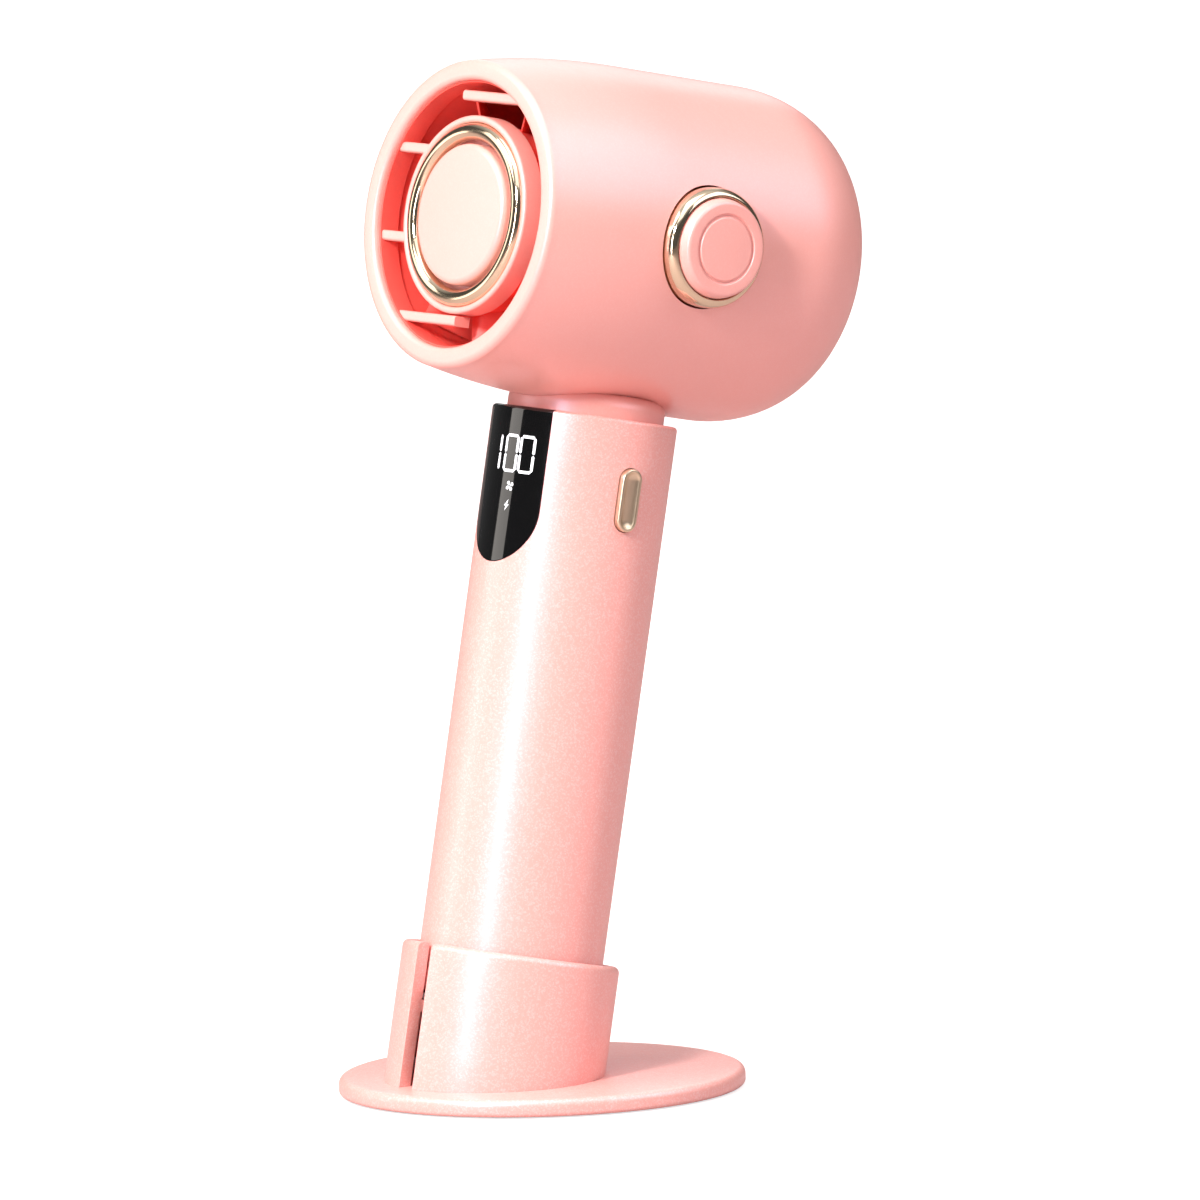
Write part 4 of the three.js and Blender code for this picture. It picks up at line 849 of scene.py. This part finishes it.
class HANDFAN_OT_display(Maker):
    """Makes the curved display window with its digits and symbols."""

    bl_idname = "handfan.display"
    bl_label = "Display"

    DIGITS_DOWN, FAN_DOWN, BOLT_DOWN = 9.8, 16.5, 20.4  # from the window's top to each middle
    DIGITS_LEFT, BOLT_LEFT = 0.9, 0.2  # how far the first nought and the bolt sit left of the shift
    SEGMENT_GAP = 0.16
    PRINT_THICKNESS = 0.05

    def make(self):
        size = Millimetres("display")
        grip = Millimetres("grip")
        top = up_grip("display_window")[1]
        bottom = top - size.height
        radius = grip.radius
        window = turned("smoked_window", rounded([
            (radius - size.thickness, bottom - 1), (radius, bottom - 1), (radius, top, grip.top_edge),
            (radius - size.thickness, top)], closed=True), GRIP, 256)
        shaped(window, "INTERSECT", window_prism(size, bottom, 0))
        finished(window, finish_named("smoked_acrylic"), "handset", "black_window", "display_window")
        digits = self.digits(size, top - self.DIGITS_DOWN)
        fan = self.fan_symbol(size.shift, top - self.FAN_DOWN)
        bolt = self.bolt_symbol(size.shift - self.BOLT_LEFT, top - self.BOLT_DOWN)
        for name, shapes in (("battery_digits", digits), ("fan_symbol", fan), ("charging_symbol", bolt)):
            made = self.wrapped(name, shapes, radius + 0.03)
            finished(made, finish_named("lit_segments"), "handset", "black_window")

    def segment(self, x, y, long, wide, upright):
        """A pointed segment about its middle, with enough points along it to follow the window's curve."""
        a, b = long / 2, wide / 2
        edge = [(b - a) + 2 * (a - b) * i / 6 for i in range(7)]
        outline = [(-a, 0), *((u, -b) for u in edge), (a, 0), *((u, b) for u in edge[::-1])]
        if upright:
            outline = [(-v, u) for u, v in outline]
        return [(x + u, y + v) for u, v in outline]

    def digits(self, size, middle):
        """The segments of a full battery: one, nought, nought."""
        half = (size.digit_height - size.stroke) / 2
        gap = self.SEGMENT_GAP
        across = (size.digit_width - size.stroke) / 2
        shapes = []
        first = size.shift - self.DIGITS_LEFT
        nought_middles = [first, first + size.digit_pitch]
        one = nought_middles[0] - across - size.digit_pitch * 0.44
        for up in (-1, 1):
            shapes.append(self.segment(one, middle + up * half / 2, half - gap, size.stroke, True))
            for x in nought_middles:
                shapes.append(self.segment(x, middle + up * half, 2 * across - gap, size.stroke, False))
                for side in (-1, 1):
                    shapes.append(self.segment(x + side * across, middle + up * half / 2, half - gap,
                                               size.stroke, True))
        return shapes

    def fan_symbol(self, x, y):
        """Four swept blades about a middle."""
        shapes = []
        for quarter in range(4):
            turn = Matrix.Rotation(quarter * math.pi / 2, 2)
            blade = [(0.1, 0.1), (0.65, 0.0), (0.98, 0.3), (0.88, 0.68), (0.52, 0.78), (0.25, 0.5)]
            shapes.append([tuple(Vector((x, y)) + turn @ Vector(point)) for point in blade])
        return shapes

    def bolt_symbol(self, x, y):
        """A lightning flash, in two halves."""
        upper = [(0.4, 1.15), (-0.62, -0.15), (0.0, -0.15), (0.15, 0.2)]
        lower = [(-0.4, -1.15), (0.62, 0.15), (0.0, 0.15), (-0.15, -0.2)]
        return [[(x + u, y + v) for u, v in half] for half in (upper, lower)]

    def wrapped(self, name, shapes, radius):
        """Flat shapes with a little thickness, wrapped round the grip's front at a radius."""
        mesh = bmesh.new()
        for shape in shapes:
            layers = []
            for depth in (0, self.PRINT_THICKNESS):
                r = radius + depth
                layers.append([mesh.verts.new((r * math.sin(x / radius), -r * math.cos(x / radius), y))
                               for x, y in shape])
            for layer in (layers[1], layers[0][::-1]):
                bmesh.ops.triangulate(mesh, faces=[mesh.faces.new(layer)])
            for i in range(len(shape)):
                j = (i + 1) % len(shape)
                mesh.faces.new((layers[0][i], layers[0][j], layers[1][j], layers[1][i]))
        return piece(name, mesh, GRIP)


class HANDFAN_OT_button(Maker):
    """Makes the gold power button: a pill with a raised rim and a hollow face."""

    bl_idname = "handfan.button"
    bl_label = "Power button"

    def make(self):
        size = Millimetres("button")
        low, high = along("power_button", Vector(), RIGHT)
        half = size.width / 2
        layers = [(-0.8, low), (-0.8, low + 0.8), (0, low + 0.8), (0, high - size.edge)]
        layers += [(size.edge * (1 - math.cos(a)), high - size.edge * (1 - math.sin(a)))
                   for a in (math.radians(15 * i) for i in range(1, 7))]
        layers.append((size.rim, high))
        steps = 12
        hollow = half - size.rim
        for i in range(1, steps + 1):
            share = 1 - i / steps
            inset = half - max(0.04, hollow * share)
            layers.append((inset, high - size.dish * (1 - share ** 2) - 0.12 * min(1, i / 2)))
        mesh = bmesh.new()
        rings = [[mesh.verts.new((x, y, z)) for x, y in pill(size.length - 2 * inset, size.width - 2 * inset)]
                 for inset, z in layers]
        for below, above in zip(rings, rings[1:]):
            for i, corner in enumerate(below):
                j = (i + 1) % len(below)
                mesh.faces.new((corner, below[j], above[j], above[i]))
        mesh.faces.new(rings[0])
        mesh.faces.new(rings[-1])
        button = piece("power_pill", mesh, BUTTON)
        satin = finish_named("champagne_satin")
        finished(button, satin, "power_button", "gold_trim", "power_button", sharp=50)


def barrel_outline(size, depth, steps=18):
    """Points of the barrel's outside, or of a skin at some depth under it, from front to back."""
    length_now = into_barrel("barrel_shell")[1]
    tail = length_now - size.tail_length
    middle = size.radius - depth
    front = size.lip_radius - depth
    points = []
    for i in range(steps + 1):
        share = i / steps
        z = size.lip_edge + (size.flare - size.lip_edge) * share
        points.append((middle - (middle - front) * (1 - share) ** 2, z))
    points += [(middle, size.flare + (tail - size.flare) * i / 8) for i in range(1, 8)]
    for i in range(steps + 1):
        angle = math.pi / 2 * i / steps
        drop = (size.tail_drop - depth) * (1 - math.cos(angle))
        points.append((middle - drop, tail + (size.tail_length - depth) * math.sin(angle)))
    return points


class HANDFAN_OT_barrel(Maker):
    """Makes the barrel's shell with its rounded lip and tail, and the coral duct inside."""

    bl_idname = "handfan.barrel"
    bl_label = "Barrel"

    HOLE_REACH = (20, 50)  # how far from the barrel's axis the dial's hole is cut, from inside to outside
    DUCT_WALL = 1.4
    FLANGE = (62, 64)  # front and back of the flange that holds the duct in the shell

    def make(self):
        size = Millimetres("barrel")
        edge, inner_edge = size.lip_edge, size.lip_inner_edge
        outside = barrel_outline(size, 0)
        inside = [point for point in barrel_outline(size, size.wall, 8) if point[1] > size.lip_depth + 1]
        back = outside[-1][1]
        outline = arc(size.outlet_radius + inner_edge, inner_edge, inner_edge, 180, 270, 8)
        outline += arc(size.lip_radius - edge, edge, edge, -90, -8, 10)
        outline += outside
        outline += [(size.inlet_radius + 0.15, back), (size.inlet_radius, back - 0.15),
                    (size.inlet_radius, back - size.wall)]
        outline += inside[::-1]
        outline += [(inside[0][0], size.lip_depth), (size.outlet_radius, size.lip_depth)]
        shell = turned("barrel_casing", outline, BARREL, 224)
        dial = Millimetres("dial")
        seam = Millimetres("grip").seam
        hole, (start, end) = dial.radius + seam, self.HOLE_REACH
        shaped(shell, "DIFFERENCE",
               turned("hole", [(0, start), (hole, start), (hole, end), (0, end)], DIAL, 160))
        pearl = finish_named("pearl_lacquer_smooth")
        finished(shell, pearl, "handset", "pink_shell", "barrel_shell", sharp=40)
        low, high = into_barrel("duct_liner")
        flange = size.radius - size.wall - seam
        bore, outer = size.outlet_radius, size.outlet_radius + self.DUCT_WALL
        front, rear = self.FLANGE
        liner = turned("air_duct", rounded([
            (bore, low, 0.3), (outer, low), (outer, front), (flange, front), (flange, rear), (outer, rear),
            (outer, high), (bore, high, 0.4)], closed=True), BARREL, 160)
        finished(liner, finish_named("coral_abs"), "handset", "pink_inner", "duct_liner")


class HANDFAN_OT_outlet(Maker):
    """Makes the outlet grille of level bars with the hub's cup, the gold ring and the hub's face."""

    bl_idname = "handfan.outlet"
    bl_label = "Outlet and hub"

    BARS = ((-5.5, 30, 24.2), (-30, -15, 12.5), (-30, -15, -5.8), (-30, 2, -21.7))  # from, to, height
    CUP_FLOOR = (5.2, 1.3)  # depth and thickness of the cup's floor
    LYING = Matrix(((0, 0, 1, 0), (1, 0, 0, 0), (0, 1, 0, 0), (0, 0, 0, 1)))  # turns a raised bar level

    def make(self):
        size = Millimetres("outlet")
        barrel = Millimetres("barrel")
        reach = barrel.outlet_radius - CLEARANCE
        pearl = finish_named("pearl_lacquer_smooth")
        coral = finish_named("coral_abs")
        seat = turned("grille_seat", rounded([
            (reach - 0.1, 1.5, 0.15), (reach + 0.28, 1.5, 0.1), (reach + 0.28, 3.5), (reach + 1.6, 3.5),
            (reach + 1.6, size.back), (reach - 0.1, size.back)], closed=True), BARREL, 160)
        finished(seat, coral, "handset", "pink_inner")
        inner = size.hub_radius - 0.6
        room = turned("room", [(inner, 0), (reach, 0), (reach, 9), (inner, 9)], BARREL, 160)
        bars = [self.bar(size, *bar) for bar in self.BARS]
        trimmed = shaped(joined("bars", *bars), "INTERSECT", room)
        floor, thickness = self.CUP_FLOOR
        rim = size.hub_radius - size.hub_wall
        cup = turned("outlet_grille_bars", rounded([
            (0, floor), (rim, floor), (rim, size.hub_front, 0.65), (size.hub_radius, size.hub_front, 0.65),
            (size.hub_radius, floor + thickness), (0, floor + thickness)]), BARREL, 160)
        shaped(cup, "UNION", trimmed)
        finished(cup, pearl, "handset", "pink_inner", "outlet_grille")
        section = arc(size.ring_radius, size.ring_depth, size.ring_tube, 0, 350, 35)
        gold = turned("gold_hub_ring", section, BARREL, 200)
        polished = finish_named("champagne_polished")
        finished(gold, polished, "handset", "gold_trim", "hub_gold_ring", sharp=60)
        back = into_barrel("hub_disc")[1]
        front = size.disc_front
        disc = turned("hub_face", rounded([
            (0, front), (size.disc_radius, front, size.disc_edge), (size.disc_radius, back), (0, back)],
            steps=10), BARREL, 200)
        finished(disc, pearl, "handset", "pink_shell", "hub_disc")

    def bar(self, size, start, end, height):
        """One level bar with its front edges rounded off."""
        half = size.bar / 2
        outline = rounded([(-half, size.bar_front, size.bar_edge), (half, size.bar_front, size.bar_edge),
                           (half, size.back - 0.3), (-half, size.back - 0.3)], closed=True)
        lying = Matrix.Translation((0, -height, 0)) @ self.LYING
        return raised("bar", outline, start, end, BARREL @ lying)


def blade(name, root, tip, front, back, pitch, twist, thickness, camber):
    """A blade standing out along X between two depths, pitched and twisted about its own length."""
    mesh = bmesh.new()
    spans, around = 10, 10
    rings = []
    for i in range(spans + 1):
        share = i / spans
        angle = pitch + twist * share
        chord = (back - front) / math.cos(angle) * 0.97
        section = []
        for side in (1, -1):
            for k in range(around):
                s = k / around if side == 1 else 1 - k / around
                bow = camber * 4 * s * (1 - s)
                full = thickness / 2 * (0.25 + 1.5 * math.sqrt(s) * (1 - s))
                half = full if 0 < s < 1 else thickness * 0.12
                section.append((bow + side * half, (s - 0.5) * chord))
        rings.append([mesh.verts.new((root + (tip - root) * share,
                                      y * math.cos(angle) - z * math.sin(angle),
                                      y * math.sin(angle) + z * math.cos(angle) + (front + back) / 2))
                      for y, z in section])
    for low, high in zip(rings, rings[1:]):
        for i, corner in enumerate(low):
            j = (i + 1) % len(low)
            mesh.faces.new((corner, low[j], high[j], high[i]))
    mesh.faces.new(rings[0][::-1])
    mesh.faces.new(rings[-1])
    return piece(name, mesh, Matrix.Identity(4))


class HANDFAN_OT_fan(Maker):
    """Makes the fan wheel, the motor with its straightening vanes, and the fairing with its swirl vanes."""

    bl_idname = "handfan.fan"
    bl_label = "Fan and motor"

    SHAFT = 1.8  # radius of the fan's bore
    FAN_HUB = 11  # radius of the wheel's hub
    MOTOR_BORE, MOTOR_RADIUS, MOTOR_END = 12.5, 14, 4.3  # radii of the can, and of the hole in its end
    BEARING_SEAT = 3.4  # thickness of the can's closed end
    TIP_GAP = 0.35  # between a still vane and the duct
    FAN_GAP = 0.8  # between the blades' tips and the duct
    SWIRL_DEPTHS = (8, 18)

    def make(self):
        size = Millimetres("air")
        nylon = finish_named("black_nylon")
        duct = Millimetres("barrel").outlet_radius
        low, high = into_barrel("fan_impeller")
        back = high - 5
        shaft, outer = self.SHAFT, self.FAN_HUB
        hub = turned("hub", rounded([
            (shaft, low), (outer, low, 0.5), (outer, back, 1), (9.5, back + 2.4, 2), (5.5, back + 4.2, 2),
            (0, high), (0, back + 1), (shaft, back + 1)]), BARREL, 96)
        pitch, twist = math.radians(40), math.radians(18)
        one = blade("blade", 10.2, duct - self.FAN_GAP, low, back, pitch, twist, 1.5, 0.9)
        blades = ring_of(one, int(size.blades), BARREL, nylon)
        wheel = joined("fan_wheel", hub, blades)
        finished(wheel, nylon, "impeller", "dark_plastic", "fan_impeller", sharp=45)
        self.motor(size, duct, nylon)

    def motor(self, size, duct, nylon):
        low, high = into_barrel("motor_housing")
        bore, outer, end = self.MOTOR_BORE, self.MOTOR_RADIUS, self.MOTOR_END
        inside = high - self.BEARING_SEAT
        can = turned("can", rounded([
            (bore, low, 0.3), (outer, low, 0.3), (outer, high, 1.6), (end, high, 0.3), (end, inside, 0.2),
            (bore, inside)], closed=True), BARREL, 96)
        tip = duct - self.TIP_GAP
        one = blade("vane", 13.6, tip, high - 15, high - 3, 0, math.radians(24), 1.4, 0.0)
        vanes = ring_of(one, int(size.vanes), BARREL, nylon)
        motor = joined("motor_can", can, vanes)
        finished(motor, nylon, "handset", "dark_plastic", "motor_housing", sharp=45)
        low, high = into_barrel("hub_fairing")
        middle = (low + high) / 2
        fairing = turned("cone", rounded([
            (18.5, low), (19.9, low, 0.3), (17.9, middle, 12), (14, high, 0.3), (12.6, high),
            (16.5, middle, 12)], closed=True), BARREL, 128)
        coral = finish_named("coral_abs")
        one = blade("swirl", 15.5, tip, *self.SWIRL_DEPTHS, math.radians(40), 0, 1.3, 0.0)
        swirl = ring_of(one, int(size.swirl_vanes), BARREL, coral)
        finished(joined("fairing", fairing, swirl), coral, "handset", "pink_inner", "hub_fairing", sharp=45)


class HANDFAN_OT_inlet(Maker):
    """Makes the inlet grille in the barrel's flat back and the filter behind it."""

    bl_idname = "handfan.inlet"
    bl_label = "Air inlet"

    def make(self):
        size = Millimetres("air")
        rim = Millimetres("barrel").inlet_radius - CLEARANCE
        low, high = into_barrel("inlet_grille")
        pearl = finish_named("pearl_lacquer_smooth")
        pitch = (rim - size.ring_width - size.boss) / size.inlet_rings
        boss = rounded([(0, low), (size.boss, low), (size.boss, high, 0.4), (0, high)])
        parts = [turned("boss", boss, BARREL, 64)]
        for i in range(1, int(size.inlet_rings) + 1):
            inner = size.boss + pitch * i
            parts.append(turned("ring", rounded([
                (inner, low), (inner + size.ring_width, low), (inner + size.ring_width, high, 0.35),
                (inner, high, 0.35)], closed=True), BARREL, 144))
        spoke = block("spoke", ((size.boss + rim) / 2, 0, (low + high) / 2),
                      (rim - size.boss + 0.4 - 1, size.spoke_width, high - low - 0.3), Matrix.Identity(4))
        parts.append(ring_of(spoke, int(size.inlet_spokes), BARREL, pearl))
        finished(joined("inlet_rings", *parts), pearl, "handset", "pink_inner", "inlet_grille")
        low, high = into_barrel("inlet_filter")
        outline = rounded([(0, low), (rim, low, 0.3), (rim, high, 0.3), (0, high)])
        mat = turned("filter_mat", outline, BARREL, 96)
        finished(mat, finish_named("open_foam"), "handset", "grey_rubber", "inlet_filter")


class HANDFAN_OT_dial(Maker):
    """Makes the speed dial: a gold skirt and a pink cap with a groove round its face."""

    bl_idname = "handfan.dial"
    bl_label = "Speed dial"

    BORE = 8  # radius of the hole through the skirt
    FLOOR = 2.1  # depth of the skirt's inner floor under its crown
    SPIGOT = (3.5, 5)  # inner and outer radius of the cap's spigot
    CAP_FOOT, CAP_INSIDE = 1.8, 2.3  # depths of the cap's foot under the crown, and of its hollow

    def make(self):
        size = Millimetres("dial")
        low, high = along("dial_skirt", BARREL_MIDDLE, DIAL_AXIS)
        inner = size.cap_radius + 0.2
        wide, floor = size.radius - inner - 0.2, high - self.FLOOR
        crown = [(inner + 0.2 + wide * math.cos(a), high - size.crown * (1 - math.sin(a)))
                 for a in (math.radians(90 * i / 12) for i in range(13))]
        skirt = turned("gold_skirt", [
            (self.BORE, low), (size.radius, low), *crown, (inner, high - 0.2), (inner, floor),
            (self.BORE, floor)], DIAL, 200)
        finished(skirt, finish_named("champagne_polished"), "dial", "gold_trim", "dial_skirt", sharp=45)
        bottom, top = along("dial_cap", BARREL_MIDDLE, DIAL_AXIS)
        foot, inside = high - self.CAP_FOOT, top - self.CAP_INSIDE
        inner, outer = self.SPIGOT
        groove, half, sunk = size.groove_radius, size.groove_width / 2, top - size.groove_depth
        cap = turned("dial_face", rounded([
            (0, inside), (inner, inside), (inner, bottom), (outer, bottom), (outer, foot),
            (size.cap_radius, foot), (size.cap_radius, high, 0.5),
            (size.cap_radius - size.cap_taper, top, size.cap_edge), (groove + half, top, 0.2),
            (groove + half * 0.6, sunk, 0.15), (groove - half * 0.6, sunk, 0.15),
            (groove - half, top, 0.2), (0, top)]), DIAL, 200)
        finished(cap, finish_named("pearl_lacquer_smooth"), "dial", "pink_shell", "dial_cap")


class HANDFAN_OT_workings(Maker):
    """Gives the hidden CAD pieces their finishes."""

    bl_idname = "handfan.workings"
    bl_label = "Hidden pieces"

    FINISHES = {
        "turned_steel": ("ballast_plate", "stand_screw_1", "stand_screw_2", "stand_screw_3", "neck_screw_1",
                         "neck_screw_2", "front_bearing", "rear_bearing", "motor_shaft", "motor_end_bell",
                         "dial_post"),
        "nickel_plate": ("battery_contact_lower", "battery_contact_upper"),
        "solder_mask": ("display_board", "main_board", "charge_board", "button_board", "motor_driver_board",
                        "dial_board"),
        "black_nylon": ("battery_cradle", "button_switch"),
        "lit_segments": ("display_module",),
        "cell_sleeve": ("battery_cell",),
        "wound_core": ("stator_core",),
        "ferrite": ("rotor_magnet", "dial_magnet_ring"),
    }

    def make(self):
        for finish, nodes in self.FINISHES.items():
            for node in nodes:
                materials = frame["nodes"][node].data.materials
                materials.clear()
                materials.append(finish_named(finish))


# ------------------------------------------------------------------ floor, light and camera


class HANDFAN_OT_studio(Maker):
    """Makes the pale floor, the soft studio light and the camera."""

    bl_idname = "handfan.studio"
    bl_label = "Studio"

    AIM = Vector((0.0086, 0.0114, 0.1004))
    VIEW_TURN = math.radians(53.07)
    VIEW_RISE = math.radians(6.82)
    VIEW_ROLL = math.radians(-1.45)
    VIEW_DISTANCE = 3.484
    LENS = 512.8
    LAMP_DISTANCE = 1.1
    FLOOR_RADIUS = 40
    GLOW = (0.1, 0.7, 0.75, 1.0)  # from and to these distances in metres, the floor glows so much

    LAMPS = (  # name, watts, turn and rise in degrees, width and height in metres, tint
        ("key", 12.0, -33, 34, 0.16, 0.16, (1.0, 0.98, 0.97)),
        ("streak", 3.5, -36, 11, 0.14, 0.5, (0.95, 0.92, 1.0)),
        ("front", 1.5, -10, 60, 0.6, 0.6, (1.0, 1.0, 1.0)),
        ("left", 3.5, -75, 48, 0.5, 0.5, (1.0, 0.97, 0.93)),
        ("strip", 3.0, -95, 16, 0.37, 1.2, (1.0, 0.94, 0.88)),
        ("top", 3.0, 0, 82, 0.7, 0.7, (1.0, 1.0, 1.0)),
        ("side", 5.5, 76, 38, 0.9, 0.8, (0.96, 0.93, 1.0)),
        ("back", 1.5, 180, 30, 0.6, 0.6, (1.0, 1.0, 1.0)),
    )

    def make(self):
        self.floor()
        self.sky()
        for lamp in self.LAMPS:
            self.lamp(*lamp)
        self.camera()
        bpy.context.scene.view_settings.view_transform = "Standard"

    def floor(self):
        """A wide pale floor that looks dimmer to the camera under the object and white farther out."""
        mesh = bmesh.new()
        bmesh.ops.create_circle(mesh, cap_ends=True, segments=96, radius=self.FLOOR_RADIUS)
        floor = piece("floor", mesh, Matrix.Identity(4))
        material, tree, shader = surface("pale_floor", linear("B9A5A2"), Roughness=0.7)
        haze = pattern(tree, "ShaderNodeTexNoise", 400.0)
        two_tones(tree, shader, haze.outputs[0], linear("B9A5A2"), linear("BCA8A5"))
        spot = add_node(tree, "ShaderNodeTexCoord").outputs["Object"]
        away = add_node(tree, "ShaderNodeVectorMath", [(0, spot)], operation="LENGTH").outputs["Value"]
        seen = add_node(tree, "ShaderNodeLightPath").outputs["Is Camera Ray"]
        glow = add_node(tree, "ShaderNodeMath", [(0, seen), (1, span(tree, away, *self.GLOW))],
                        operation="MULTIPLY")
        shader.inputs["Emission Color"].default_value = (1, 1, 1, 1)
        tree.links.new(glow.outputs[0], shader.inputs["Emission Strength"])
        floor.data.materials.append(material)

    def sky(self):
        """A surround that is bright overhead and dark at the horizon, but plain white to the camera."""
        world = bpy.data.worlds.new("surround")
        bpy.context.scene.world = world
        world.use_nodes = True
        tree = world.node_tree
        tree.nodes.clear()
        height = add_node(tree, "ShaderNodeSeparateXYZ",
                          [("Vector", add_node(tree, "ShaderNodeTexCoord").outputs["Generated"])])
        grey = span(tree, height.outputs["Z"], 0.5, 0.95, 0.1, 0.9)
        dim = add_node(tree, "ShaderNodeBackground", [("Color", grey), ("Strength", 1.0)])
        pale = add_node(tree, "ShaderNodeBackground", [("Color", (1, 1, 1, 1)), ("Strength", 1.0)])
        seen = add_node(tree, "ShaderNodeLightPath").outputs["Is Camera Ray"]
        mix = add_node(tree, "ShaderNodeMixShader", [(0, seen), (1, dim.outputs[0]), (2, pale.outputs[0])])
        add_node(tree, "ShaderNodeOutputWorld", [("Surface", mix.outputs[0])])

    def towards(self, turn, rise):
        """The direction from the object to a place that is turned and raised so far."""
        return Vector((math.sin(turn) * math.cos(rise), -math.cos(turn) * math.cos(rise), math.sin(rise)))

    def lamp(self, name, watts, turn, rise, width, height, tint):
        """A soft box, turned so many degrees from the camera's side of the object and raised so many."""
        data = bpy.data.lights.new(name, "AREA")
        data.shape = "RECTANGLE"
        data.energy, data.size, data.size_y, data.color = watts, width, height, tint
        lamp = bpy.data.objects.new(name, data)
        towards = self.towards(self.VIEW_TURN + math.radians(turn), math.radians(rise))
        lamp.location = self.AIM + towards * self.LAMP_DISTANCE
        lamp.rotation_euler = towards.to_track_quat("Z", "Y").to_euler()
        bpy.context.scene.collection.objects.link(lamp)

    def camera(self):
        data = bpy.data.cameras.new("camera")
        data.lens, data.sensor_width = self.LENS, 36
        data.clip_start, data.clip_end = 0.1, 100
        camera = bpy.data.objects.new("camera", data)
        turn = self.VIEW_TURN
        back = self.towards(turn, self.VIEW_RISE)
        camera.location = self.AIM + back * self.VIEW_DISTANCE
        level = Vector((math.cos(turn), math.sin(turn), 0))
        right = Matrix.Rotation(self.VIEW_ROLL, 3, back) @ level
        camera.rotation_euler = Matrix((right, back.cross(right), back)).transposed().to_euler()
        bpy.context.scene.collection.objects.link(camera)
        bpy.context.scene.camera = camera


# ------------------------------------------------------------------ panel and registration

MAKERS = (
    HANDFAN_OT_stand,
    HANDFAN_OT_grip,
    HANDFAN_OT_neck,
    HANDFAN_OT_display,
    HANDFAN_OT_button,
    HANDFAN_OT_barrel,
    HANDFAN_OT_outlet,
    HANDFAN_OT_fan,
    HANDFAN_OT_inlet,
    HANDFAN_OT_dial,
    HANDFAN_OT_workings,
    HANDFAN_OT_studio,
)


class HANDFAN_PT_panel(bpy.types.Panel):
    """Lists the operators and the sizes in the sidebar."""

    bl_idname = "HANDFAN_PT_panel"
    bl_label = "Hand fan"
    bl_space_type = "VIEW_3D"
    bl_region_type = "UI"
    bl_category = "Hand fan"

    def draw(self, context):
        for maker in MAKERS:
            self.layout.operator(maker.bl_idname)
        for group in (*SIZE_GROUPS, "finish"):
            settings = getattr(context.scene.hand_fan, group)
            column = self.layout.column(heading=group.capitalize())
            for name in settings.__annotations__:
                column.prop(settings, name)


CLASSES = (*SIZE_GROUPS.values(), FinishColours, HandFanSettings, *MAKERS, HANDFAN_PT_panel)


def register():
    for item in CLASSES:
        bpy.utils.register_class(item)
    bpy.types.Scene.hand_fan = PointerProperty(type=HandFanSettings)


def unregister():
    del bpy.types.Scene.hand_fan
    for item in reversed(CLASSES):
        bpy.utils.unregister_class(item)


def main():
    register()
    for maker in MAKERS:
        group, name = maker.bl_idname.split(".")
        getattr(getattr(bpy.ops, group), name)()


if __name__ == "__main__":
    main()
